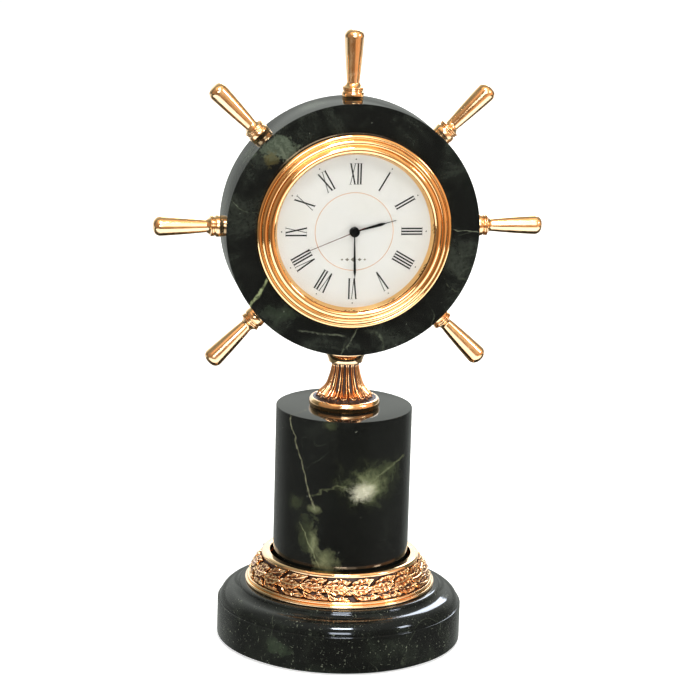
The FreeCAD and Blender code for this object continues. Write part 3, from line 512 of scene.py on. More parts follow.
class Link:
    """A socket's output; its operators add Math nodes."""

    def __init__(self, recipe: "Recipe", socket: bpy.types.NodeSocket) -> None:
        """Wraps a socket of a recipe's tree."""
        self.recipe = recipe
        self.socket = socket

    def math(self, operation: str, *others: Number, swapped: bool = False) -> "Link":
        """Adds one Math node.

        Args:
            operation: The Math node's operation.
            others: Its further operands.
            swapped: Whether this link is the second operand.

        Returns:
            The node's result.
        """
        operands = [*others, self] if swapped else [self, *others]
        return self.recipe.node(
            "ShaderNodeMath", {"operation": operation}, dict(enumerate(operands))
        )

    def __add__(self, other: Number) -> "Link":
        """self + other."""
        return self.math("ADD", other)

    __radd__ = __add__

    def __mul__(self, other: Number) -> "Link":
        """self * other."""
        return self.math("MULTIPLY", other)

    __rmul__ = __mul__

    def __sub__(self, other: Number) -> "Link":
        """self - other."""
        return self.math("SUBTRACT", other)

    def __rsub__(self, other: Number) -> "Link":
        """other - self."""
        return self.math("SUBTRACT", other, swapped=True)

    def __abs__(self) -> "Link":
        """The size without its sign."""
        return self.math("ABSOLUTE")

    def over(self, low: float, high: float) -> "Link":
        """A smooth step.

        Args:
            low: The value at which it leaves 0.
            high: The value at which it reaches 1.

        Returns:
            The step, from 0 to 1.
        """
        values = {"Value": self, "From Min": low, "From Max": high}
        settings = {"interpolation_type": "SMOOTHSTEP", "clamp": True}
        return self.recipe.node("ShaderNodeMapRange", settings, values)

    def largest(self, other: Number) -> "Link":
        """The larger of two values."""
        return self.math("MAXIMUM", other)


Number = Link | float | int


class Recipe:
    """The node tree of one material, or of the world."""

    def __init__(self, name: str, world: bpy.types.World | None = None) -> None:
        """Starts an empty material of that name, or empties the world's tree."""
        self.material = world or bpy.data.materials.new(name)
        self.material.use_nodes = True
        self.tree = self.material.node_tree
        self.tree.nodes.clear()

    def node(
        self,
        kind: str,
        settings: dict[str, object] | None = None,
        values: dict[str | int, object] | None = None,
        output: str | int = 0,
    ) -> Link:
        """Adds any node.

        Args:
            kind: The node's type.
            settings: Its properties, which are set first.
            values: Its sockets' values or links, by name or number.
            output: The output that is wanted.

        Returns:
            That output.
        """
        made = self.tree.nodes.new(kind)
        for name, value in (settings or {}).items():
            setattr(made, name, value)
        for name, value in (values or {}).items():
            if isinstance(value, Link):
                self.tree.links.new(value.socket, made.inputs[name])
            else:
                made.inputs[name].default_value = value
        return Link(self, made.outputs[output] if len(made.outputs) else None)

    def spot(self) -> Link:
        """The surface point in the piece's own millimetres."""
        place = self.node("ShaderNodeTexCoord", output="Object")
        return self.vector("SCALE", place, Scale=1 / MM)

    def vector(
        self, operation: str, first: object, second: object = None, **named: object
    ) -> Link:
        """Adds one Vector Math node.

        Args:
            operation: The node's operation.
            first: Its first vector.
            second: Its second vector, if it takes one.
            named: Further sockets by name.

        Returns:
            Its vector, or its value for a length or a dot product.
        """
        values: dict[str | int, object] = {0: first, **named}
        if second is not None:
            values[1] = second
        scalar = operation in ("DOT_PRODUCT", "LENGTH", "DISTANCE")
        out = "Value" if scalar else "Vector"
        return self.node("ShaderNodeVectorMath", {"operation": operation}, values, out)

    def noise(
        self,
        spot: Link,
        size: float,
        detail: float = 3.0,
        rough: float = 0.5,
        warp: float = 0.0,
    ) -> Link:
        """Cloudy noise.

        Args:
            spot: The point it is read at, in millimetres.
            size: How many millimetres its blobs are across.
            detail: How many finer octaves it has.
            rough: How strong those are.
            warp: How much it swirls.

        Returns:
            Its value, about 0.5.
        """
        values = {
            "Vector": spot,
            "Scale": 1 / size,
            "Detail": detail,
            "Roughness": rough,
            "Distortion": warp,
        }
        return self.node("ShaderNodeTexNoise", {}, values)

    def blend(self, mask: Number, first: object, second: object) -> Link:
        """Mixes two colours.

        Args:
            mask: 0 for the first, 1 for the second.
            first: A colour or its link.
            second: A colour or its link.

        Returns:
            The mixed colour.
        """
        values = {0: mask, 6: first, 7: second}
        settings = {"data_type": "RGBA", "clamp_factor": True}
        return self.node("ShaderNodeMix", settings, values, 2)

    def bump(self, height: Link, deep: float) -> Link:
        """A normal bent by a height that spans so many millimetres."""
        values = {"Height": height, "Distance": deep * MM, "Strength": 1.0}
        return self.node("ShaderNodeBump", {}, values)

    def surface(self, **sockets: object) -> Link:
        """A Principled shader; underscores in the names stand for spaces."""
        values = {name.replace("_", " "): value for name, value in sockets.items()}
        return self.node("ShaderNodeBsdfPrincipled", {}, values)

    def done(self, shader: Link) -> bpy.types.Material:
        """Ends the material with its shader."""
        self.node("ShaderNodeOutputMaterial", {}, {"Surface": shader})
        return self.material


@dataclass(frozen=True)
class Vein:
    """A mineral vein: a thin warped sheet through three points of the stone."""

    start: Point
    end: Point
    inner: Point
    width: float
    colour: Colour
    strength: float = 1.0
    wander: float = 3.0

    def mask(
        self, recipe: Recipe, spot: Link, broad: Link, middle: Link, fine: Link
    ) -> Link:
        """Where the vein shows: near the sheet, between its start and its end, on
        their side of the stone.

        Args:
            recipe: The stone's recipe.
            spot: The surface point.
            broad: Broad noise that bends the sheet.
            middle: Smaller noise that makes it waver.
            fine: Fine noise that frays its edges.

        Returns:
            A mask from 0 to 1.
        """
        start, end, inner = (
            np.array(point, float) for point in (self.start, self.end, self.inner)
        )
        along = end - start
        across = np.cross(along, inner - start)
        across /= np.linalg.norm(across)
        off = recipe.vector("DOT_PRODUCT", spot, tuple(across)) - float(across @ start)
        bend = (broad - 0.5) * (self.wander * 3) + (middle - 0.5) * self.wander
        off = abs(off + bend + (fine - 0.5) * 0.8)
        unit = along / float(along @ along)
        run = recipe.vector("DOT_PRODUCT", spot, tuple(unit)) - float(unit @ start)
        run = run + (broad - 0.5) * 0.3
        outward = (start + end) / 2 - inner
        outward /= np.linalg.norm(outward)
        side = recipe.vector("DOT_PRODUCT", spot, tuple(outward))
        side = (side - float(outward @ inner)).over(0.0, 4.0)
        line = (1 - off.over(self.width * 0.15, self.width)) * run.over(-0.04, 0.08)
        thin = fine.over(0.36, 0.6) * 0.75 + 0.25
        return line * side * (1 - run.over(0.9, 1.04)) * thin * self.strength


@dataclass(frozen=True)
class Patch:
    """A cloud of paler mineral about a point, with its own reach each way."""

    centre: Point
    reach: Point
    colour: Colour
    strength: float = 1.0
    ragged: float = 1.3
    crisp: float = 0.1

    def mask(self, recipe: Recipe, spot: Link, cloud: Link, speck: Link) -> Link:
        """Where the patch shows: within its reach, ragged and broken into specks.

        Args:
            recipe: The stone's recipe.
            spot: The surface point.
            cloud: The noise that breaks its edge.
            speck: The noise that breaks it up.

        Returns:
            A mask from 0 to 1.
        """
        off = recipe.vector("SUBTRACT", spot, self.centre)
        size = recipe.vector("DIVIDE", off, self.reach)
        far = recipe.vector("LENGTH", size) + (cloud - 0.5) * (self.ragged * 1.6)
        far = far + (speck - 0.5) * 1.5
        mottle = speck.over(0.4, 0.62) * 0.45 + 0.55
        return (1 - far.over(self.crisp, 1.3 - self.crisp * 0.4)) * mottle * self.strength


@dataclass(frozen=True)
class Stone:
    """Polished black-green serpentine with clouds, veins, patches and flecks."""

    name: str
    shift: Point
    ground: Colour = tint(21, 22, 20)
    cloud: Colour = tint(50, 54, 48)
    pale: Colour = tint(120, 128, 106)
    fleck: Colour = tint(168, 172, 156)
    clouds: float = 0.75
    flecks: float = 0.3
    web: float = 0.35
    veins: tuple[Vein, ...] = ()
    patches: tuple[Patch, ...] = ()

    def material(self) -> bpy.types.Material:
        """The stone's material: broad clouds and fine grain set the ground, a web
        of hairline veins, flecks and the named veins and patches lie on it.

        Returns:
            The material.
        """
        r = Recipe(self.name)
        spot = r.spot()
        moved = r.vector("ADD", spot, self.shift)
        broad = r.noise(moved, 16.0, 5.0, 0.58, 0.7)
        middle = r.noise(moved, 5.0, 4.0, 0.6, 0.4)
        fine = r.noise(moved, 1.1, 4.0, 0.65)
        speck = r.noise(moved, 2.0, 5.0, 0.68, 0.5)
        wisps = broad.over(0.46, 0.74) * 0.7 + middle.over(0.52, 0.8) * 0.35
        wisps = wisps * (fine.over(0.25, 0.72) * 0.65 + 0.35)
        colour = r.blend(wisps * self.clouds, self.ground, self.cloud)
        net = abs(r.noise(moved, 27.0, 1.5, 0.5, 0.6) - 0.5 + (fine - 0.5) * 0.02)
        gate = r.noise(moved, 30.0, 1.0).over(0.48, 0.66)
        lines = (1 - net.over(0.0, 0.008)) * gate * fine.over(0.3, 0.65)
        colour = r.blend(lines * self.web, colour, self.pale)
        for patch in self.patches:
            colour = r.blend(patch.mask(r, spot, middle, speck), colour, patch.colour)
        for vein in self.veins:
            colour = r.blend(vein.mask(r, spot, broad, middle, fine), colour, vein.colour)
        colour = r.blend(self.crystals(r, moved, middle), colour, self.fleck)
        rough = fine.over(0.2, 0.9) * 0.03 + middle * 0.05 + 0.05
        normal = r.bump(r.noise(moved, 9.0, 1.0), 0.01)
        shader = r.surface(
            Base_Color=colour,
            Roughness=rough,
            IOR=1.54,
            Normal=normal,
            Specular_IOR_Level=0.5,
        )
        return r.done(shader)

    def crystals(self, r: Recipe, moved: Link, middle: Link) -> Link:
        """Small pale crystals: the peaks of two stretched noises, gathered in places.

        Args:
            r: The stone's recipe.
            moved: The surface point, moved for this stone.
            middle: The noise that gathers the crystals.

        Returns:
            A mask from 0 to 1.
        """
        gather = r.noise(moved, 7.0, 2.0).over(0.42, 0.62) * 0.75 + 0.25
        total: Link | None = None
        for stretch, size in (((1.0, 1.0, 1.7), 1.15), ((1.9, 1.3, 1.0), 1.5)):
            drawn = r.vector("MULTIPLY", moved, stretch)
            blot = r.noise(drawn, size, 1.5, 0.5, 0.4)
            bar = 0.78 - self.flecks * 0.16
            spots = blot.over(bar, bar + 0.09)
            total = spots if total is None else total.largest(spots)
        return total * gather * (middle.over(0.35, 0.65) * 0.6 + 0.4)


@dataclass(frozen=True)
class Metal:
    """A bare or plated metal with fine scratches and a faint tarnish."""

    name: str
    colour: Colour
    deep: Colour
    rough: float = 0.09
    grain: float = 0.004
    tarnish: float = 0.12

    def material(self) -> bpy.types.Material:
        """The metal's material: colour drifts towards its deeper tone, roughness
        and a fine bump follow small scratches.

        Returns:
            The material.
        """
        r = Recipe(self.name)
        spot = r.spot()
        drift = r.noise(spot, 9.0, 3.0)
        grain = r.noise(r.vector("MULTIPLY", spot, (1.0, 1.0, 4.0)), 0.5, 3.0, 0.7)
        smudge = r.noise(spot, 3.0, 4.0, 0.6)
        colour = r.blend(drift.over(0.35, 0.8) * self.tarnish, self.colour, self.deep)
        rough = smudge.over(0.35, 0.8) * self.rough * 0.8 + grain * self.rough * 0.3
        shader = r.surface(
            Base_Color=colour,
            Metallic=1.0,
            Roughness=rough + self.rough * 0.6,
            Normal=r.bump(grain, self.grain),
        )
        return r.done(shader)


@dataclass(frozen=True)
class Patina:
    """Cast brass, dark in its hollows and polished on what stands out."""

    name: str
    bright: Colour
    warm: Colour
    dark: Colour

    def material(self) -> bpy.types.Material:
        """The casting's material: the depth attribute and noise decide between the
        dark patina, a warm middle tone and the polished metal.

        Returns:
            The material.
        """
        r = Recipe(self.name)
        spot = r.spot()
        depth = r.node("ShaderNodeAttribute", {"attribute_name": "depth"}, {}, "Fac")
        cloud = r.noise(spot, 2.4, 4.0, 0.6)
        fine = r.noise(spot, 0.35, 3.0, 0.6)
        level = depth + (cloud - 0.5) * 0.28 + (fine - 0.5) * 0.12
        colour = r.blend(level.over(0.34, 0.56), self.dark, self.warm)
        colour = r.blend(level.over(0.5, 0.74), colour, self.bright)
        rough = 0.46 - level.over(0.3, 0.66) * 0.36 + fine * 0.06
        metal = level.over(0.2, 0.5) * 0.75 + 0.25
        shader = r.surface(
            Base_Color=colour,
            Metallic=metal,
            Roughness=rough,
            Normal=r.bump(cloud * 0.6 + fine * 0.4, 0.05),
        )
        return r.done(shader)


@dataclass(frozen=True)
class Moulded:
    """A moulded or painted surface with a fine skin."""

    name: str
    colour: Colour
    worn: Colour
    rough: float = 0.45
    skin: float = 0.3
    deep: float = 0.02
    coat: float = 0.0

    def material(self) -> bpy.types.Material:
        """The surface's material: fine skin as bump, slight clouds in its colour
        and gloss.

        Returns:
            The material.
        """
        r = Recipe(self.name)
        spot = r.spot()
        cloud = r.noise(spot, 6.0, 3.0)
        skin = r.noise(spot, self.skin, 3.0, 0.6)
        colour = r.blend(cloud.over(0.4, 0.8) * 0.5 + skin * 0.2, self.colour, self.worn)
        shader = r.surface(
            Base_Color=colour,
            Roughness=self.rough + (skin - 0.5) * 0.12 + (cloud - 0.5) * 0.08,
            Coat_Weight=self.coat,
            Normal=r.bump(skin, self.deep),
        )
        return r.done(shader)


@dataclass(frozen=True)
class Felt:
    """Dense wool felt: matted fibres with a soft sheen."""

    name: str
    colour: Colour
    fibre: Colour

    def material(self) -> bpy.types.Material:
        """The felt's material: two stretched noises cross as matted fibres.

        Returns:
            The material.
        """
        r = Recipe(self.name)
        spot = r.spot()
        one = r.noise(r.vector("MULTIPLY", spot, (1.0, 5.0, 3.0)), 0.5, 4.0, 0.7, 1.5)
        two = r.noise(r.vector("MULTIPLY", spot, (5.0, 1.0, 3.0)), 0.5, 4.0, 0.7, 1.5)
        fibres = one.largest(two)
        colour = r.blend(fibres.over(0.5, 0.75), self.colour, self.fibre)
        shader = r.surface(
            Base_Color=colour,
            Roughness=0.95,
            Sheen_Weight=0.4,
            Normal=r.bump(fibres, 0.18),
        )
        return r.done(shader)


@dataclass(frozen=True)
class Glass:
    """Thin clear glass: what lies behind it shows, with a Fresnel gloss."""

    name: str

    def material(self) -> bpy.types.Material:
        """The glass: a see-through shader mixed with a mirror by Fresnel.

        Returns:
            The material.
        """
        r = Recipe(self.name)
        clear = r.node("ShaderNodeBsdfTransparent", {}, {"Color": tint(252, 253, 251)})
        haze = r.noise(r.spot(), 8.0, 3.0)
        values = {"Color": (1.0, 1.0, 1.0, 1.0), "Roughness": haze.over(0.4, 0.9) * 0.03 + 0.01}
        gloss = r.node("ShaderNodeBsdfAnisotropic", {}, values)
        edge = r.node("ShaderNodeFresnel", {}, {"IOR": 1.46})
        return r.done(r.node("ShaderNodeMixShader", {}, {0: edge * 0.5, 1: clear, 2: gloss}))


@dataclass(frozen=True)
class Enamel:
    """A white enamelled dial, satin, with the faintest warm mottle."""

    name: str
    colour: Colour
    warm: Colour

    def material(self) -> bpy.types.Material:
        """The dial's material: even white, a fine orange-peel in its gloss.

        Returns:
            The material.
        """
        r = Recipe(self.name)
        spot = r.spot()
        cloud = r.noise(spot, 14.0, 3.0)
        peel = r.noise(spot, 0.6, 2.0)
        shader = r.surface(
            Base_Color=r.blend(cloud.over(0.3, 0.9), self.colour, self.warm),
            Roughness=0.42 + (peel - 0.5) * 0.1,
            Coat_Weight=0.15,
            Normal=r.bump(peel, 0.003),
        )
        return r.done(shader)


@dataclass(frozen=True)
class Wound:
    """Lacquered copper wire, wound in fine turns, with shade painted into the grooves between
    them.
    """

    name: str
    colour: Colour
    # The darker colour painted into the grooves between turns, as shade.
    groove: Colour

    def material(self) -> bpy.types.Material:
        """The winding's material: rounded turns as bands along x, their grooves painted dark as
        shade.

        Returns:
            The material.
        """
        r = Recipe(self.name)
        spot = r.spot()
        values = {"Vector": spot, "Scale": 1.6, "Distortion": 0.3, "Detail": 1.0}
        settings = {"wave_type": "BANDS", "bands_direction": "X"}
        turns = r.node("ShaderNodeTexWave", settings, values, "Fac")
        shader = r.surface(
            # Painted shade: the groove colour darkens the wire where the turns meet.
            Base_Color=r.blend(turns.over(0.1, 0.6), self.groove, self.colour),
            Metallic=0.9,
            Roughness=0.3 + r.noise(spot, 1.0) * 0.1,
            Coat_Weight=0.5,
            Normal=r.bump(turns, 0.06),
        )
        return r.done(shader)


@dataclass(frozen=True)
class Board:
    """A lacquered circuit board with copper tracks under its mask."""

    name: str
    mask: Colour
    track: Colour

    def material(self) -> bpy.types.Material:
        """The board's material: tracks run as bands under the solder mask.

        Returns:
            The material.
        """
        r = Recipe(self.name)
        spot = r.spot()
        values = {"Vector": spot, "Scale": 0.28, "Distortion": 2.2, "Detail": 0.0}
        run = r.node("ShaderNodeTexWave", {"bands_direction": "DIAGONAL"}, values, "Fac")
        tracks = run.over(0.62, 0.68)
        weave = r.noise(spot, 0.4, 2.0)
        shader = r.surface(
            Base_Color=r.blend(tracks * 0.6 + weave * 0.15, self.mask, self.track),
            Roughness=0.3 + weave * 0.1,
            Coat_Weight=0.3,
            Normal=r.bump(tracks + weave * 0.1, 0.03),
        )
        return r.done(shader)


Finish = Stone | Metal | Patina | Moulded | Felt | Glass | Enamel | Wound | Board


class Paintbox:
    """Every material of the clock, by slot, and the ones that single pieces have."""

    def __init__(self) -> None:
        """Makes the materials once."""
        finishes: dict[Slot, Finish] = {
            Slot.FELT: Felt("wool_felt", tint(16, 40, 28), tint(38, 70, 50)),
            Slot.STONE: self.wheel_stone(),
            Slot.PATINATED: Patina(
                "brass_cast", tint(250, 204, 148), tint(186, 112, 62), tint(52, 32, 19)
            ),
            Slot.POLISHED: Metal(
                "brass_polished", tint(249, 210, 158), tint(228, 152, 88), 0.11
            ),
            Slot.GOLD: Metal(
                "gold_plate_polished", tint(250, 202, 136), tint(236, 154, 88), 0.07
            ),
            Slot.STEEL: Metal(
                "steel_satin", tint(196, 197, 200), tint(150, 150, 152), 0.26, 0.008
            ),
            Slot.BRASS: Metal(
                "movement_brass", tint(226, 186, 112), tint(188, 142, 76), 0.24, 0.008
            ),
            Slot.GLASS: Glass("dial_glass"),
            Slot.ENAMEL: Enamel("dial_white", tint(242, 238, 241), tint(240, 235, 235)),
            Slot.BLACK_PLASTIC: Moulded(
                "moulded_black", tint(33, 33, 34), tint(46, 46, 48), 0.42, 0.25, 0.03
            ),
            Slot.RUBBER: Moulded(
                "band_rubber", tint(196, 192, 182), tint(170, 165, 154), 0.7, 0.5, 0.03
            ),
            Slot.WHITE_PLASTIC: Moulded(
                "moulded_white", tint(228, 226, 220), tint(208, 204, 196), 0.42
            ),
            Slot.MAGNET: Moulded(
                "sintered_magnet", tint(52, 52, 56), tint(84, 82, 80), 0.4, 0.15, 0.02
            ),
            # The coil's second colour is painted shade between its turns.
            Slot.COPPER: Wound("coil_wire", tint(214, 120, 66), tint(92, 40, 20)),
            Slot.BOARD: Board("circuit_green", tint(20, 84, 50), tint(74, 140, 84)),
            Slot.BLACK_HAND: Moulded(
                "black_lacquer", tint(12, 11, 11), tint(22, 20, 19), 0.28, 0.2, 0.002, 0.4
            ),
            Slot.RED_HAND: Moulded(
                "seconds_lacquer", tint(92, 46, 40), tint(116, 70, 60), 0.35, 0.2, 0.002
            ),
        }
        self.by_slot = {slot: finish.material() for slot, finish in finishes.items()}
        self.wheel, self.cast = self.by_slot[Slot.STONE], self.by_slot[Slot.PATINATED]
        self.brass, self.gold = self.by_slot[Slot.POLISHED], self.by_slot[Slot.GOLD]
        self.pillar = self.pillar_stone().material()
        self.plinth = self.plinth_stone().material()
        self.satin = Metal(
            "brass_satin", tint(250, 208, 152), tint(240, 168, 98), 0.19, 0.001, 0.3
        ).material()
        self.ink, self.soft_ink, self.gilt = (
            Moulded(name, colour, worn, rough, 0.2, 0.002, coat).material()
            for name, colour, worn, rough, coat in (
                ("numeral_ink", tint(26, 24, 23), tint(40, 37, 35), 0.5, 0.0),
                ("ornament_ink", tint(132, 124, 116), tint(150, 142, 132), 0.5, 0.0),
                ("gilt_line", tint(198, 136, 84), tint(222, 166, 108), 0.35, 0.3),
            )
        )

    @staticmethod
    def pillar_stone() -> Stone:
        """The pillar: a thin vein down its left, a pale patch right of the middle
        and greenish ones low on the left.

        Returns:
            The stone.
        """
        lime, cream = tint(132, 138, 102), tint(224, 220, 198)
        moss, line = tint(66, 72, 50), tint(146, 146, 118)
        return Stone(
            "pillar_serpentine",
            (31.0, 12.0, 5.0),
            clouds=0.45,
            flecks=0.1,
            web=0.08,
            patches=(
                Patch((7, -24, 67), (13, 12, 9), moss, 0.85),
                Patch((5.2, -25, 66.4), (7, 8, 5.4), lime, 0.9),
                Patch((3.2, -25.2, 64.2), (4.8, 6, 3.7), cream, 0.9, 1.1),
                Patch((13, -22, 71.8), (7, 8, 2.4), moss, 0.8),
                Patch((-13.6, -21.4, 56.6), (3, 6, 1.6), lime, 0.7),
                Patch((-19.5, -16.4, 58), (3.4, 6, 3), moss, 0.7),
                Patch((-15.6, -20, 46.5), (3.6, 8, 8.5), moss, 0.9),
                Patch((-13.6, -21.4, 43), (2, 6, 7.5), lime, 0.85),
                Patch((-9.5, -23.6, 36.5), (5, 6, 4), lime, 0.8),
                Patch((-9.3, -23.6, 88.6), (3, 6, 2.2), moss, 0.8),
                Patch((14, 20, 52), (11, 9, 10), moss, 0.7),
                Patch((-18, 17, 74), (8, 8, 5), lime, 0.5),
            ),
            veins=(
                Vein((-22.4, -11.6, 91.5), (-13.6, -21.4, 56), (0, 0, 74), 0.5, line, 0.7, 2.2),
                Vein((-18, -18, 50), (-11, -22.6, 34), (0, 0, 42), 0.45, lime, 0.7, 1.6),
                Vein((-15, -20.6, 61.5), (-2, -25.2, 65.5), (0, 0, 63), 0.7, lime, 0.28, 3.2),
                Vein((2, -25.2, 66), (21, -14.6, 75), (0, 0, 70), 0.9, lime, 0.35, 2.6),
                Vein((20, 15, 88), (-6, 24.6, 36), (0, 0, 60), 0.5, line, 0.7, 3),
            ),
        )

    @staticmethod
    def wheel_stone() -> Stone:
        """The wheel: mottled, with a grey-green patch at the upper left.

        Returns:
            The stone.
        """
        grey, olive = tint(88, 97, 82), tint(84, 78, 48)
        line, bright = tint(112, 118, 100), tint(150, 160, 118)
        return Stone(
            "wheel_serpentine",
            (-7.0, 40.0, 19.0),
            cloud=tint(60, 65, 57),
            clouds=1.0,
            flecks=0.15,
            web=0.5,
            patches=(
                Patch((-27.5, -11, 188.6), (8.5, 6, 4.8), grey, 0.95, 1.2, 0.7),
                Patch((-30.5, -11, 185.4), (3.6, 5, 3), olive, 0.8, 1.2, 0.6),
                Patch((-26, -11, 128), (9, 6, 3.4), tint(58, 68, 54), 0.7, 1.6),
                Patch((22, 11, 190), (9, 7, 6), grey, 0.6, 1.7),
                Patch((-34, 11, 140), (7, 7, 5), olive, 0.6, 1.6),
                Patch((-16, 3, 202.5), (7, 8, 4), grey, 0.8, 1.7),
                Patch((-37.5, -2, 187), (5, 8, 6), grey, 0.9, 1.7),
                Patch((-46, 3, 167), (4, 7, 8), tint(70, 78, 64), 0.8, 1.7),
            ),
            veins=(
                Vein((-31, -11, 142), (-38.5, -11, 130), (-33, 11, 138), 0.8, bright, 0.9, 1.4),
                Vein((36, -11, 158.9), (46.7, -11, 157.9), (40, 11, 158), 0.3, line, 0.8, 1),
                Vein((-20, -11, 121.4), (-2, -11, 119.4), (-10, 11, 122), 0.5, line, 0.5, 1.2),
                Vein((-2, -11, 115), (4, -11, 124), (3, 11, 118), 0.5, line, 0.5, 1.2),
                Vein((-30, 11, 190), (20, 11, 120), (0, -11, 150), 0.5, line, 0.6, 4),
            ),
        )

    @staticmethod
    def plinth_stone() -> Stone:
        """The base: darker and finer, peppered with pale crystals.

        Returns:
            The stone.
        """
        return Stone(
            "base_serpentine",
            (4.0, -23.0, 61.0),
            cloud=tint(52, 58, 48),
            fleck=tint(128, 134, 116),
            clouds=0.9,
            flecks=0.72,
            web=0.3,
            patches=(
                Patch((-28, -37, 8), (6, 6, 3), tint(64, 76, 58), 0.6, 1.9),
                Patch((30, 30, 10), (8, 8, 5), tint(58, 66, 44), 0.6, 1.7),
            ),
        )


# -------------------------------------------------------------------- stand


@dataclass
class StoneStand:
    """The three stone pieces and the felt under them."""

    paint: Paintbox
    pillar_radius: float = 25.4
    rod_hole: float = 3.5
    wheel_rim: float = 46.75
    wheel_bore: float = 30.5
    wheel_half: float = 11.0
    foot: float = 22.0
    top: float = 90.3
    base_radius: float = 46.0
    well_radius: float = 13.0
    well_top: float = 10.0
    felt_radius: float = 44.0
    felt_thick: float = 1.0
    sectors: int = 320

    def build(self) -> None:
        """Makes the felt, the base, the pillar and the wheel."""
        self.felt()
        self.base()
        self.pillar()
        self.wheel()

    def felt(self) -> None:
        """A felt disc whose cut edge wavers: its radius times 1 - 0.0012 of
        1 + sin 7a cos 3a."""
        edge = self.felt_radius
        section = (
            Outline((0, 0)).line(edge * 0.5, 0).line(edge - 0.15, 0)
            .line(edge - 0.1, self.felt_thick).line(edge * 0.5, self.felt_thick)
            .line(0, self.felt_thick).section(0.3, closed=False)
        )
        angle = around(256)
        waver = 1 - 0.0012 * (1 + np.sin(7 * angle) * np.cos(3 * angle))
        points = swept(section[:, :1] * waver, section[:, 1:], angle, Seat())
        mesh = Shell("felt_disc").grid(points).mesh()
        piece(mesh, Body.STAND, Slot.FELT, self.paint.by_slot[Slot.FELT], "felt_pad")

    def base(self) -> None:
        """The stone base: a drum, a line, a rolled shoulder, a cove and a seat."""
        r, bottom = self.base_radius, self.felt_thick
        section = (
            Outline((self.rod_hole, self.well_top)).line(self.well_radius, self.well_top)
            .line(self.well_radius, bottom)
            .line(r - 0.6, bottom).arc(r, bottom + 0.6, 0.6, 6).line(r, 14.4)
            .arc(r - 0.4, 14.8, 0.4, 6).line(r - 0.75, 14.8).line(r - 0.75, 14.95)
            .arc(r - 5.2, 19.4, 5.2, 20).arc(38.2, 20.9, -4.6, 10)
            .arc(37.0, self.foot, 1.4, 8).line(self.rod_hole, self.foot)
            .section(0.1)
        )
        mesh = turned_mesh("base_stone", section, Seat(), self.sectors)
        piece(mesh, Body.STAND, Slot.STONE, self.paint.plinth, "plinth")

    def pillar(self) -> None:
        """The stone pillar: a bored cylinder with a fine polished arris."""
        section = (
            Outline((self.rod_hole, self.foot)).line(self.pillar_radius, self.foot)
            .line(self.pillar_radius, self.top).line(self.rod_hole, self.top)
            .section(0.3)
        )
        mesh = turned_mesh("pillar_stone", section, Seat(), self.sectors)
        piece(mesh, Body.STAND, Slot.STONE, self.paint.pillar, "pillar")

    def wheel(self) -> None:
        """The wheel: a ring turned about the dial's axis, its edges eased; the
        ferrules' feet sink into its rim."""
        half, bore, rim = self.wheel_half, self.wheel_bore, self.wheel_rim
        section = (
            Outline((bore, -half)).line(rim, -half).line(rim, half).line(bore, half)
            .section(0.35)
        )
        mesh = turned_mesh("wheel_stone", section, Seat.dial(), self.sectors)
        piece(mesh, Body.STAND, Slot.STONE, self.paint.wheel, "wheel_disc")


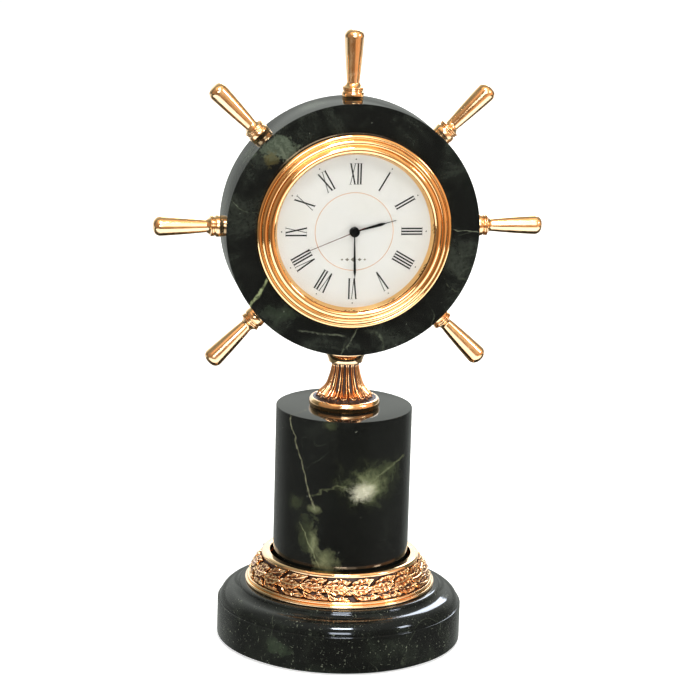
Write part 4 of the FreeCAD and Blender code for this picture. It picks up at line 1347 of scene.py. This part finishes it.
@dataclass
class WreathRing:
    """The cast ring at the pillar's foot, with a wreath of leaves on its slope."""

    paint: Paintbox
    low: tuple[float, float] = (34.1, 24.4)
    high: tuple[float, float] = (29.5, 32.2)
    clusters: int = 22
    columns: int = 1240
    rows: int = 66
    ground: float = -0.42
    seed: int = 11

    def build(self) -> None:
        """Makes the plain ring and the leafy band that lies on its slope."""
        foot, seat, top, bore = 35.4, 22.0, 33.65, 25.45
        (low_r, low_z), (high_r, high_z) = self.low, self.high
        section = (
            Outline((bore, seat)).line(foot, seat).arc(foot, seat + 1.3, 0.75, 10)
            .line(foot - 0.7, seat + 1.3).arc(foot - 0.7, low_z, 0.65, 8)
            .line(low_r - 0.25, low_z + 0.05).line(low_r - 1.1, low_z)
            .line(high_r - 0.8, high_z - 0.5).line(high_r - 0.1, high_z - 0.1)
            .line(high_r + 0.2, high_z).arc(28.5, top, 1.2, 12).line(26.6, top)
            .line(26.5, top - 3.0).line(32.0, seat + 1.5).line(bore, seat + 1.5)
            .section(0.1)
        )
        grid = turned(section, Seat(), 288)
        depth = np.full(grid.shape[:2], 0.8)
        ring = Shell("wreath_rims").grid(grid, wrap_rows=True, depth=depth)
        piece(ring.mesh(), Body.STAND, Slot.PATINATED, self.paint.brass, "wreath_ring")
        self.band()

    def band(self) -> None:
        """The band: the slope's line plus the leaves' height along its normal."""
        low, high = np.array(self.low), np.array(self.high)
        slope = high - low
        normal = np.array([slope[1], -slope[0]]) / np.hypot(*slope)
        height = self.relief()
        t = np.linspace(0, 1, self.rows)[:, None]
        radius = low[0] + slope[0] * t + normal[0] * height
        level = low[1] + slope[1] * t + normal[1] * height
        angle = around(self.columns, TURN / 4)
        face = swept(radius, level, angle, Seat())
        hollow = height - softened(height, (5.0, 5.0))
        depth = np.clip(0.37 + hollow * 2.0 + (height + 0.1) * 0.2, 0, 1)
        back = np.array([[high[0] - 0.9, high[1]], [low[0] - 1.0, low[1]]])
        points = np.concatenate([face, swept(back[:, :1], back[:, 1:], angle, Seat())])
        depths = np.concatenate([depth, np.zeros((2, self.columns))])
        band = Shell("wreath_leaves").grid(points, wrap_rows=True, depth=depths)
        piece(band.mesh(60.0), Body.STAND, Slot.PATINATED, self.paint.cast, "wreath_ring")

    def relief(self) -> Array:
        """The wreath's height map in millimetres: clusters of four leaves and three
        berries, each laid over the next one's stalks. A leaf is given by its stalk's
        place round and up, its tilt, length, width and lift.

        Returns:
            Rows up the slope by columns round the ring.
        """
        slope = float(np.hypot(self.high[0] - self.low[0], self.high[1] - self.low[1]))
        round_ = TURN * (self.low[0] + self.high[0]) / 2
        s = np.arange(self.columns) * round_ / self.columns
        t = np.linspace(0, slope, self.rows)
        height = np.full((self.rows, self.columns), self.ground)
        rng = np.random.default_rng(self.seed)
        pitch = round_ / self.clusters
        leaves = (
            (1.6, 4.5, 0.0, 9.6, 3.4, 0.25),
            (-0.6, 6.0, 13.0, 9.6, 4.2, 0.05),
            (-0.2, 2.8, -13.0, 9.8, 4.2, 0.0),
            (-1.6, 4.6, 1.0, 9.4, 4.2, 0.42),
        )
        berries = ((4.6, 8.0), (5.4, 1.1), (8.2, 4.5))
        for k in range(self.clusters):
            for base_s, base_t, tilt, long, wide, lift in leaves:
                swing, grow = rng.normal(0, 5.0), 1 + rng.normal(0, 0.05)
                spot = (k * pitch + base_s + rng.normal(0, 0.2), base_t + rng.normal(0, 0.15))
                turn = math.radians(tilt + swing)
                height = self.leaf(height, s, t, spot, turn, long * grow, wide * grow, lift)
            for base_s, base_t in berries:
                spot = (k * pitch + base_s, base_t + rng.normal(0, 0.2))
                height = self.berry(height, s, t, spot, 0.55)
        rim = step(t, 0.0, 0.5) * (1 - step(t, slope - 0.5, slope))
        return height * rim[:, None] + self.ground * (1 - rim[:, None])

    @staticmethod
    def leaf(
        height: Array,
        s: Array,
        t: Array,
        spot: tuple[float, float],
        turn: float,
        long: float,
        wide: float,
        lift: float,
    ) -> Array:
        """Lays one leaf on the map. Along the leaf u runs from 0 to 1, across it v
        from -1 to 1; its half width is sin(pi u^0.8)^0.7 with lobes of |sin 3.5 pi u|,
        and its height lifts towards the tip, domes across, and has a raised rib,
        a raised border and slanting side veins.

        Args:
            height: The map so far.
            s: Each column's place round the ring.
            t: Each row's place up the slope.
            spot: The leaf's stalk.
            turn: How far it points up the slope, in radians.
            long: Its length.
            wide: Its half width.
            lift: How far it stands above the others.

        Returns:
            The map with the leaf on it.
        """
        circle = s[-1] + s[1]
        away = (s - spot[0] + circle / 2) % circle - circle / 2
        near = np.flatnonzero((away > -1.5) & (away < long + 1.5))
        x, y = away[near][None, :], t[:, None] - spot[1]
        u = (x * math.cos(turn) + y * math.sin(turn)) / long
        v = (y * math.cos(turn) - x * math.sin(turn)) / (wide / 2)
        v = v + 0.25 * np.sin(math.pi * u)
        inside = np.clip(u, 1e-4, 1 - 1e-4)
        half = np.sin(math.pi * inside**0.8) ** 0.7
        half = half * (0.78 + 0.26 * np.abs(np.sin(3.5 * math.pi * inside**0.9)))
        beyond = np.maximum(np.maximum(-u, u - 1), 0) * long
        edge = (half - np.abs(v)) * wide / 2 - beyond
        dome = 0.26 * np.sqrt(np.clip(1 - (v / (half + 1e-3)) ** 2, 0, 1))
        across = v * wide / 2
        rib = 0.34 * np.exp(-((across / 0.2) ** 2))
        rib = rib + 0.26 * np.exp(-(((edge - 0.26) / 0.2) ** 2))
        aside = np.abs(v)
        veins = 0.06 * np.cos(TURN * (4.5 * u - 0.8 * aside)) * step(aside, 0.08, 0.3)
        veins = veins * (1 - step(aside / (half + 1e-3), 0.7, 1))
        top = 0.02 + lift + 0.34 * np.clip(u, 0, 1) + dome + rib + veins
        part = height[:, near]
        moat = part - 0.36 * np.exp(-((np.minimum(edge, 0) / 0.2) ** 2)) * (edge < 0)
        blend = step(edge, -0.02, 0.16)
        part = moat * (1 - blend) + np.maximum(part - 0.1, top) * blend
        height[:, near] = part
        return height

    @staticmethod
    def berry(
        height: Array, s: Array, t: Array, spot: tuple[float, float], size: float
    ) -> Array:
        """Lays one berry on the map: a dome sqrt(size^2 - d^2) about its spot.

        Args:
            height: The map so far.
            s: Each column's place round the ring.
            t: Each row's place up the slope.
            spot: The berry's middle.
            size: Its radius.

        Returns:
            The map with the berry on it.
        """
        circle = s[-1] + s[1]
        away = (s - spot[0] + circle / 2) % circle - circle / 2
        near = np.flatnonzero(np.abs(away) < size + 0.6)
        far = np.hypot(away[near][None, :], t[:, None] - spot[1])
        part = height[:, near]
        moat = part - 0.25 * np.exp(-(((far - size) / 0.2) ** 2)) * (far > size)
        dome = 0.05 + np.sqrt(np.clip(size**2 - far**2, 0, None)) * 1.1
        height[:, near] = np.where(far < size, np.maximum(part, dome), moat)
        return height


@dataclass
class Neck:
    """The fluted casting between pillar and wheel, and the collar on it."""

    paint: Paintbox
    foot: float = 13.25
    low: float = 90.3
    joint: float = 107.2
    waist: float = 5.15
    hole: float = 3.1
    flutes: int = 16
    columns: int = 512
    rows: int = 120

    def build(self) -> None:
        """Makes the fluted casting and the polished collar."""
        self.casting()
        self.collar()

    def casting(self) -> None:
        """The casting: a turned section whose skirt is cut by round-ended flutes
        with raised borders."""
        rim = (
            Outline((self.hole, self.low)).line(self.foot - 0.5, self.low)
            .arc(self.foot - 0.7, self.low + 3.3, 2.58, 16)
            .line(self.foot - 1.35, self.low + 3.42).section(0.1, closed=False)
        )
        skirt = (
            Outline((self.foot - 1.4, self.low + 3.4))
            .arc(self.waist + 1.3, self.low + 10, -10, 48)
            .arc(self.waist, self.joint - 1, -24, 48).line(self.waist, self.joint)
        )
        raw = np.vstack([np.array([skirt.start]), *skirt.runs])
        along = np.concatenate([[0], np.cumsum(np.hypot(*np.diff(raw, axis=0).T))])
        even = np.linspace(0, along[-1], self.rows)
        curve = np.stack([np.interp(even, along, raw[:, k]) for k in (0, 1)], -1)
        slope = np.gradient(curve, axis=0)
        normal = np.stack([slope[:, 1], -slope[:, 0]], -1)
        normal /= np.hypot(*normal.T)[:, None]
        height, depth = self.fluting(even, curve[:, 0])
        radius = curve[:, :1] + normal[:, :1] * height
        level = curve[:, 1:] + normal[:, 1:] * height
        skin = swept(radius, level, around(self.columns), Seat())
        close = np.array([[self.hole, self.joint]])
        points = np.concatenate(
            [turned(rim, Seat(), self.columns), skin, turned(close, Seat(), self.columns)]
        )
        plain = np.full((len(rim), self.columns), 0.78)
        depths = np.concatenate([plain, depth, np.full((1, self.columns), 0.3)])
        shell = Shell("neck_fluted").grid(points, wrap_rows=True, depth=depths)
        piece(shell.mesh(50.0), Body.STAND, Slot.PATINATED, self.paint.cast, "neck_casting")

    def fluting(self, along: Array, radius: Array) -> tuple[Array, Array]:
        """The skirt's height map: hollow flutes with a round lower end, a raised
        border round each and a low ground between them.

        Args:
            along: Each row's distance up the skirt.
            radius: Each row's radius.

        Returns:
            The height in millimetres and the depth from 0, dark, to 1, polished,
            raised by painted light in the flutes' lower ends: rows up the skirt by
            columns round it.
        """
        angle = np.arange(self.columns) * self.flutes / self.columns
        phase = (angle % 1.0) - 0.5
        pitch = (TURN * radius / self.flutes)[:, None]
        across = np.abs(phase)[None, :] * pitch
        half = pitch * 0.27
        start = 2.3
        drop = np.maximum(start + half - along[:, None], 0)
        edge = np.hypot(across, drop * 0.9) - half
        size = np.minimum(1.0, pitch / 3.2)
        hollow = -0.62 * size * np.clip(1 - (1 + edge / half) ** 2, 0, 1) * (edge < 0)
        border = 0.4 * size * np.exp(-(((edge - 0.18 * size) / (0.24 * size)) ** 2))
        ground = -0.42 * size * step(edge, 0.3, 0.62) * (1 - step(along, 11.0, 15.0)[:, None])
        dart = 0.5 * size * np.exp(-(((0.5 * pitch - across) / (0.2 * size)) ** 2))
        dart = dart * (1 - step(along, 4.5, 6.5)[:, None]) * step(along, 0.9, 1.6)[:, None]
        fade = step(along, 0.15, 0.8) * (1 - step(along, along[-1] - 1.2, along[-1] - 0.5))
        lower = 0.3 * step(along, 3.5, 7.0)[:, None]
        height = (hollow + border + ground + dart - lower) * fade[:, None]
        rim = np.exp(-(((edge - 0.12) / (0.42 * size)) ** 2))
        # Painted light: the flutes' round lower ends, facing up on the flaring skirt, are
        # lifted from the dark patina towards the warm tone.
        cup = step(-edge / half, 0.15, 0.6) * (1 - step(along, 3.5, 8.0))[:, None]
        depth = 0.1 + 0.8 * rim * (edge < 0.5) + 0.34 * cup
        return height, np.clip(depth + dart, 0, 1)

    def collar(self) -> None:
        """The collar: a turned flare, cut off where it meets the wheel's rim at
        z = hub - sqrt(R^2 - x^2)."""
        low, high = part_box("wheel_disc")
        hub, rim = (low.z + high.z) / (2 * MM), (high.z - low.z) / (2 * MM)
        foot, mouth, top = 6.15, 8.15, self.joint + 5.6
        section = (
            Outline((self.hole, self.joint)).line(foot, self.joint)
            .arc(foot + 0.3, self.joint + 0.5, 0.4, 8).arc(mouth, top - 1.9, -5, 18)
            .line(mouth, top).line(6.0, top).line(self.hole, top).section(0.12)
        )
        points = turned(section, Seat(), 160)
        saddle = (hub - np.sqrt(rim**2 - (points[..., 0] / MM) ** 2)) * MM
        points[..., 2] = np.minimum(points[..., 2], saddle)
        mesh = Shell("neck_flare").grid(points, wrap_rows=True).mesh()
        piece(mesh, Body.STAND, Slot.POLISHED, self.paint.brass, "neck_collar")


@dataclass
class Handles:
    """The seven turned handles and their ferrules."""

    paint: Paintbox
    seat: float = 46.4
    thin: float = 2.35
    thick: float = 3.6
    reach: float = 72.4
    collar: float = 3.9
    rise: float = 4.45
    sectors: int = 96
    places: tuple[tuple[str, float], ...] = (
        ("top", 0),
        ("upper_right", 45),
        ("right", 90),
        ("lower_right", 135),
        ("lower_left", 225),
        ("left", 270),
        ("upper_left", 315),
    )

    def build(self) -> None:
        """Makes one ferrule and one grip at each place."""
        kinds = (
            ("ferrule_turned", "ferrule", self.ferrule(), True),
            ("grip_turned", "handle", self.grip(), False),
        )
        for place, degrees in self.places:
            seat = Seat.spoke(degrees)
            for name, node, section, hollow in kinds:
                mesh = turned_mesh(f"{name}_{place}", section, seat, self.sectors, hollow)
                piece(mesh, Body.STAND, Slot.POLISHED, self.paint.satin, f"{node}_{place}")

    def ferrule(self) -> Array:
        """The ferrule's section: a ring, a groove and a rounded flange.

        Returns:
            The section.
        """
        s, r, top = self.seat, self.collar, self.seat + self.rise
        return (
            Outline((2.0, s)).line(r, s).line(r, s + 1.2).arc(r, s + 3.15, 3.2, 10)
            .arc(r - 0.4, top - 0.8, -0.6, 6).line(r - 0.3, top - 0.8)
            .arc(r - 0.3, top, 0.46, 14).line(2.0, top).section(0.12)
        )

    def grip(self) -> Array:
        """The grip's section: a flared foot, a long taper and a flat round end.

        Returns:
            The section.
        """
        foot = self.seat + self.rise
        return (
            Outline((0, foot + 5.0)).line(2.0, foot + 5.0).line(2.0, foot)
            .line(3.75, foot).arc(3.85, foot + 0.55, 0.3, 6)
            .arc(self.thin, foot + 2.1, -2.6, 14)
            .arc(self.thick, self.reach - 2.75, 320, 26)
            .arc(1.4, self.reach - 0.12, 2.66, 16).arc(0, self.reach, 8.06, 8)
            .section(0.12, closed=False)
        )


# ------------------------------------------------------------------- insert


@dataclass
class Insert:
    """The push-in clock: bezel, glass, inner ring and the printed dial."""

    paint: Paintbox
    seat: Seat = field(default_factory=Seat.dial)
    face: float = 11.0
    rise: float = 4.0
    radius: float = 36.0
    lip: float = 29.4
    dial_top: float = 11.4
    glass_radius: float = 30.15
    glass_low: float = 13.4
    glass_thick: float = 1.2
    neck: float = 31.5
    ledge: float = 0.9
    ink: float = 0.03
    sectors: int = 384

    def build(self) -> None:
        """Makes the gold rings, the glass and the dial's print."""
        self.bezel()
        self.inner_ring()
        self.glass()
        low, high = self.dial_top - 0.01, self.dial_top + self.ink
        DialPrint(self.paint, self.seat, low, high).build()

    def bezel(self) -> None:
        """Three rolled ribs that climb to the lip, over a rebate for the glass."""
        f, r = self.face, self.radius
        section = (
            Outline((self.neck, f)).line(r, f).line(r, f + 1.2)
            .arc(r - 1.65, f + 2.3, 1.1, 14).arc(r - 3.8, f + 3.3, 1.3, 16)
            .arc(self.lip, f + self.rise, 1.62, 18).line(self.lip, f + 3.6)
            .line(30.17, f + 3.6).line(30.17, f + self.ledge)
            .line(self.neck, f + self.ledge).section(0.1)
        )
        mesh = turned_mesh("bezel_ribbed", section, self.seat, self.sectors)
        piece(mesh, Body.INSERT, Slot.GOLD, self.paint.gold, "bezel")

    def inner_ring(self) -> None:
        """The gold ring that slopes from the glass down to the dial."""
        foot, step_out, edge = 28.3, 28.9, self.glass_radius
        ledge = self.face + self.ledge
        section = (
            Outline((foot, self.dial_top)).line(step_out, self.dial_top)
            .line(step_out, ledge).line(edge, ledge).line(edge, self.glass_low)
            .line(self.lip - 0.1, self.glass_low).section(0.06)
        )
        mesh = turned_mesh("dial_surround", section, self.seat, self.sectors)
        piece(mesh, Body.INSERT, Slot.GOLD, self.paint.gold, "dial_ring")

    def glass(self) -> None:
        """A flat glass disc with ground edges."""
        low, high, edge = self.glass_low, self.glass_low + self.glass_thick, self.glass_radius
        section = (
            Outline((0, low)).line(edge, low).line(edge, high).line(0, high)
            .section(0.15, closed=False)
        )
        mesh = turned_mesh("dial_glass", section, self.seat, self.sectors // 2, False)
        piece(mesh, Body.INSERT, Slot.GLASS, self.paint.by_slot[Slot.GLASS], "lens")


class Stroke(Enum):
    """The strokes of roman numerals."""

    I = "I"
    V = "V"
    X = "X"


@dataclass
class DialPrint:
    """What is printed on the dial: numerals, hour dots, a gilt circle and a small
    ornament."""

    paint: Paintbox
    seat: Seat
    low: float
    high: float
    inner: float = 17.4
    outer: float = 25.2
    thick: float = 0.56
    thin: float = 0.25
    serif: float = 0.1
    serif_past: float = 0.22
    between: float = 0.5
    dot_circle: float = 26.65
    dot_radius: float = 0.24
    gilt_circle: tuple[float, float] = (14.28, 14.48)
    ornament_level: float = -10.4
    lozenges: tuple[tuple[float, float], ...] = (
        (-4.2, 0.42), (-2.3, 0.6), (0.0, 0.85), (2.3, 0.6), (4.2, 0.42),
    )
    numerals: tuple[str, ...] = (
        "XII", "I", "II", "III", "IIII", "V", "VI", "VII", "VIII", "IX", "X", "XI",
    )

    def build(self) -> None:
        """Makes the numerals, the dots, the circle and the ornament."""
        self.hours()
        self.dots()
        self.circle()
        self.ornament()

    def bar(
        self, foot: tuple[float, float], head: tuple[float, float], wide: float
    ) -> Array:
        """One stroke with level ends: its corners lie half its width to each side
        of its foot and its head.

        Args:
            foot: The middle of its lower end.
            head: The middle of its upper end.
            wide: How wide it is across.

        Returns:
            Its four corners, anticlockwise.
        """
        w = wide / 2
        (x0, y0), (x1, y1) = foot, head
        return np.array([[x0 - w, y0], [x0 + w, y0], [x1 + w, y1], [x1 - w, y1]])

    def strokes(self, letter: Stroke, left: float) -> tuple[list[Array], float]:
        """The bars of one letter whose left edge stands at left.

        Args:
            letter: The letter.
            left: Where it starts across.

        Returns:
            Its bars and how wide it is.
        """
        low, high, t, serif = self.inner, self.outer, self.thick, self.serif
        bars: list[Array] = []
        if letter is Stroke.I:
            x = left + t / 2
            bars.append(self.bar((x, low), (x, high), t))
            marks = [(x, low), (x, high - serif)]
            wide = t
        elif letter is Stroke.V:
            wide = 2.15
            foot = left + wide / 2 + 0.05
            bars.append(self.bar((foot, low), (left + t / 2, high), t))
            bars.append(self.bar((foot + 0.1, low), (left + wide - self.thin, high), self.thin))
            marks = [(left + t / 2, high - serif), (left + wide - self.thin, high - serif)]
        else:
            wide = 2.25
            right = left + wide
            bars.append(self.bar((right - t / 2, low), (left + t / 2, high), t))
            bars.append(self.bar((left + self.thin, low), (right - self.thin, high), self.thin))
            feet = [(right - t / 2, low), (left + self.thin, low)]
            heads = [(left + t / 2, high - serif), (right - self.thin, high - serif)]
            marks = feet + heads
        for x, y in marks:
            bars.append(self.bar((x, y), (x, y + serif), t + self.serif_past * 2))
        return bars, wide

    def hours(self) -> None:
        """The twelve numerals, their feet towards the middle."""
        shapes: list[Array] = []
        for hour, numeral in enumerate(self.numerals):
            bars: list[Array] = []
            left = 0.0
            for sign in numeral:
                new, wide = self.strokes(Stroke(sign), left)
                bars += new
                left += wide + self.between
            block = np.array(bars) - np.array([(left - self.between) / 2, 0])
            shapes.append(self.swung(block, hour * 30))
        flat = np.concatenate(shapes)
        shell = Shell("dial_numerals").slabs(flat, self.low, self.high, self.seat)
        piece(shell.mesh(20.0), Body.INSERT, Slot.BLACK_HAND, self.paint.ink)

    @staticmethod
    def swung(block: Array, degrees: float) -> Array:
        """Turns a block of corners about the dial's middle.

        Args:
            block: The corners.
            degrees: How far they turn, clockwise.

        Returns:
            The turned corners.
        """
        s, c = math.sin(math.radians(degrees)), math.cos(math.radians(degrees))
        x, y = block[..., 0], block[..., 1]
        return np.stack([x * c + y * s, y * c - x * s], -1)

    def dots(self) -> None:
        """A small round dot outside each numeral."""
        shell = Shell("dial_dots")
        base, far = self.seat, self.dot_circle
        section = (
            Outline((0, self.low)).line(self.dot_radius, self.low)
            .line(self.dot_radius, self.high).line(0, self.high)
            .section(0.01, closed=False)
        )
        for a in around(12):
            spot = base.place(far * np.sin(a), far * np.cos(a), np.array(0.0)) / MM
            seat = Seat(tuple(spot), base.across, base.up, base.out)
            shell.grid(turned(section, seat, 20))
        piece(shell.mesh(), Body.INSERT, Slot.BLACK_HAND, self.paint.ink)

    def circle(self) -> None:
        """The thin gilt circle inside the numerals."""
        inner, outer = self.gilt_circle
        section = (
            Outline((inner, self.low)).line(outer, self.low).line(outer, self.high)
            .line(inner, self.high).section(0.01)
        )
        mesh = turned_mesh("dial_circle", section, self.seat, 256)
        piece(mesh, Body.INSERT, Slot.GOLD, self.paint.gilt)

    def ornament(self) -> None:
        """A plain ornament under the hands: a row of lozenges."""
        unit = np.array([[-1.25, 0], [0, -1], [1.25, 0], [0, 1]])
        spots = np.array([[x, self.ornament_level] for x, _ in self.lozenges])
        sizes = np.array([size for _, size in self.lozenges])
        shapes = unit * sizes[:, None, None] + spots[:, None]
        shell = Shell("dial_ornament").slabs(shapes, self.low, self.high, self.seat)
        piece(shell.mesh(20.0), Body.INSERT, Slot.BLACK_HAND, self.paint.soft_ink)


@dataclass
class Movement:
    """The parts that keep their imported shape, dressed by slot."""

    paint: Paintbox
    subparts: list[dict[str, object]]
    eased: tuple[tuple[str, Body, Slot, float], ...] = (
        ("insert_cup", Body.INSERT, Slot.BLACK_PLASTIC, 0.15),
        ("battery_hatch", Body.HATCH, Slot.BLACK_PLASTIC, 0.12),
        ("set_knob", Body.SETTING, Slot.BLACK_PLASTIC, 0.1),
        ("tie_nut", Body.STAND, Slot.STEEL, 0.15),
        ("battery", Body.INSERT, Slot.STEEL, 0.15),
    )

    def build(self) -> None:
        """Rounds the edges of the parts that show and dresses every other one."""
        for node, body, slot, width in self.eased:
            mesh = eased_copy(node, f"{node}_eased", width)
            piece(mesh, body, slot, self.paint.by_slot[slot], node)
        self.dress()

    def dress(self) -> None:
        """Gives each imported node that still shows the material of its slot."""
        for entry in self.subparts:
            node, slot = entry["node"], Slot(entry["material_slot"])
            shown = bpy.data.objects[node]
            if shown.hide_render:
                continue
            shown.data.materials.clear()
            shown.data.materials.append(self.paint.by_slot[slot])
            log.info("dressed %s as %s", node, slot.value)


# ------------------------------------------------------------------- studio


@dataclass
class Studio:
    """The pale floor, the soft lights and the camera. Its places are in
    millimetres, the sizes of lights and cards in metres."""

    eye: Point = (-166.6, -1002.9, 361.3)
    ahead: Point = (0.16063, 0.95773, -0.23866)
    right: Point = (0.98695, -0.15862, 0.02774)
    lens: float = 144.86
    glow: float = 0.68
    floor_reach: float = 9000.0
    floor_level: float = -0.02
    nearer: float = 0.97

    def build(self) -> None:
        """Makes the camera, the floor and the surroundings."""
        bpy.context.scene.view_settings.view_transform = "Standard"
        self.camera()
        self.floor()
        self.surroundings()

    def camera(self) -> None:
        """A long lens in front, a little above and to the left."""
        data = bpy.data.cameras.new("view")
        data.lens, data.sensor_width = self.lens, 36.0
        data.clip_start, data.clip_end = 0.01, 50.0
        eye = bpy.data.objects.new("view", data)
        ahead, right = Vector(self.ahead), Vector(self.right)
        up = right.cross(ahead)
        turn = Matrix((right, up, -ahead)).transposed().to_4x4()
        turn.translation = Vector(self.eye) * MM
        eye.matrix_world = turn
        bpy.context.scene.collection.objects.link(eye)
        bpy.context.scene.camera = eye

    def floor(self) -> None:
        """A wide pale floor. It doesn't show in reflections, so that the polished
        upright faces mirror a dim room in front of the clock."""
        r = Recipe("studio_floor")
        grain = r.noise(r.spot(), 60.0, 2.0)
        colour = r.blend(grain, (0.88, 0.88, 0.88, 1), (0.9, 0.9, 0.9, 1))
        shader = r.surface(
            Base_Color=colour,
            Roughness=0.9,
            Specular_IOR_Level=0.1,
            Emission_Color=(1.0, 1.0, 1.0, 1.0),
            Emission_Strength=self.glow,
        )
        section = np.array([[self.floor_reach * k, self.floor_level] for k in (1, 0.1, 0)])
        shell = Shell("floor").grid(turned(section, Seat(), 96))
        floor = bpy.data.objects.new("floor", shell.mesh())
        floor.data.materials.append(r.done(shader))
        bpy.context.scene.collection.objects.link(floor)
        floor.visible_glossy = False

    def light(
        self,
        name: str,
        spot: Point,
        aim: Point,
        size: tuple[float, float],
        colour: Point,
        power: float,
    ) -> bpy.types.Object:
        """A rectangular light.

        Args:
            name: Its name.
            spot: Where it stands, in millimetres.
            aim: The point it looks at, in millimetres.
            size: Its width and height in metres.
            colour: Its colour.
            power: Its power in watts.

        Returns:
            The light.
        """
        data = bpy.data.lights.new(name, "AREA")
        data.shape, data.size, data.size_y = "RECTANGLE", *size
        data.energy, data.color = power, colour
        lamp = bpy.data.objects.new(name, data)
        lamp.location = Vector(spot) * MM
        way = Vector(aim) - Vector(spot)
        lamp.rotation_euler = way.to_track_quat("-Z", "Y").to_euler()
        lamp.visible_camera = False
        bpy.context.scene.collection.objects.link(lamp)
        return lamp

    def lights(self) -> None:
        """A high front light, a small one from the right, a broad dim one and one
        behind. They light every piece. What shows them as a gleam leaves out the
        wheel and the pillar, whose broad faces would mirror a whole lamp. It stands
        a little nearer than its lamp, which would hide it otherwise."""
        white, cool, hub = (1.0, 0.98, 0.95), (0.88, 0.96, 1.1), (0.0, 0.0, 130.0)
        gleaming = bpy.data.collections.new("gleaming_pieces")
        for made in list(bpy.data.objects):
            if made.type == "MESH" and made.name not in ("wheel_stone", "pillar_stone"):
                gleaming.objects.link(made)
        lamps = (  # name, place, size, power
            ("key", (-60, -900, 1500), (0.42, 0.32), 15.0),
            ("side", (1300, -750, 850), (0.3, 0.3), 4.0),
            ("front", (-300, -2400, 900), (0.8, 0.6), 16.0),
            ("back", (500, 1300, 900), (0.7, 0.5), 9.0),
        )
        for name, spot, size, power in lamps:
            lamp = self.light(name, spot, hub, size, white, power)
            lamp.visible_glossy = False
            front = tuple(self.nearer * value for value in spot)
            gleam = self.light(f"{name}_gleam", front, hub, size, cool, power)
            gleam.visible_diffuse = False
            gleam.light_linking.receiver_collection = gleaming

    def tent(self) -> None:
        """Soft cards round the clock that only the metal mirrors: pale ones under it
        and behind, copper-toned walls, carpets and ceiling, each of an even
        brightness."""
        metal = bpy.data.collections.new("metal_pieces")
        wanted = {Slot.GOLD.value, Slot.POLISHED.value, Slot.PATINATED.value}
        for made in list(bpy.data.objects):
            if made.get("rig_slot") in wanted:
                metal.objects.link(made)
        pale, warm, copper = (0.86, 0.98, 1.2), (1.0, 0.8, 0.62), (1.0, 0.56, 0.32)
        cards = (  # name, place, aim, size, colour, brightness
            ("floor_card", (0, -200, 3), (0, -200, 900), (0.9, 0.3), pale, 1.7),
            ("left_carpet_card", (-600, -900, 3), (-600, -900, 900), (1.4, 1.1), copper, 0.16),
            ("right_carpet_card", (800, -900, 3), (800, -900, 900), (1.4, 1.1), copper, 0.62),
            ("rear_floor_card", (0, 900, 3), (0, 900, 900), (2.6, 1.4), pale, 0.7),
            ("rear_wall_card", (0, 1700, 500), (0, 0, 300), (2.6, 1.0), pale, 0.75),
            ("left_front_card", (-650, -1500, 620), (0, 0, 300), (1.0, 1.1), copper, 0.2),
            ("right_front_card", (500, -1500, 620), (0, 0, 300), (1.3, 1.1), warm, 0.55),
            ("strip_card", (150, -1200, 850), (0, 0, 200), (0.6, 1.0), pale, 1.5),
            ("left_card", (-1300, -500, 600), (0, 0, 200), (1.6, 1.2), copper, 0.22),
            ("right_card", (1300, -500, 600), (0, 0, 200), (1.6, 1.2), copper, 0.7),
            ("ceiling_card", (0, -500, 1400), (0, 0, 200), (2.4, 1.2), copper, 0.9),
        )
        for name, spot, aim, size, colour, level in cards:
            power = 4.0 * size[0] * size[1] * level
            card = self.light(name, spot, aim, size, colour, power)
            card.light_linking.receiver_collection = metal

    def surroundings(self) -> None:
        """White behind the clock and above it, a dim room in front of it."""
        world = bpy.data.worlds.new("studio")
        bpy.context.scene.world = world
        r = Recipe("studio", world)
        way = r.node("ShaderNodeTexCoord", output="Generated")
        x, y, z = (r.vector("DOT_PRODUCT", way, axis) for axis in np.eye(3).tolist())
        light = y.over(0.3, 0.95) * (z.over(0.1, 0.24) * 0.45 + 0.4) + z.over(0.3, 0.95) * 0.4
        light = light + abs(x).over(0.3, 0.95) * 0.12 + 0.035
        room = r.node(
            "ShaderNodeBackground", {}, {"Color": (0.76, 0.8, 0.75, 1.0), "Strength": light}
        )
        shown = r.node("ShaderNodeBackground", {}, {"Strength": 1.0})
        seen = r.node("ShaderNodeLightPath", output="Is Camera Ray")
        both = r.node("ShaderNodeMixShader", {}, {0: seen, 1: room, 2: shown})
        r.node("ShaderNodeOutputWorld", {}, {"Surface": both})


def main() -> None:
    """Loads the frame, sets up the studio, builds the clock over it and lights it."""
    logging.basicConfig(level=logging.INFO, format="%(name)s: %(message)s")
    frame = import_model()
    studio = Studio()
    studio.build()
    paint = Paintbox()
    StoneStand(paint).build()
    WreathRing(paint).build()
    Neck(paint).build()
    Handles(paint).build()
    Insert(paint).build()
    Movement(paint, frame["record"]["subparts"]).build()
    studio.lights()
    studio.tent()


if __name__ == "__main__":
    main()
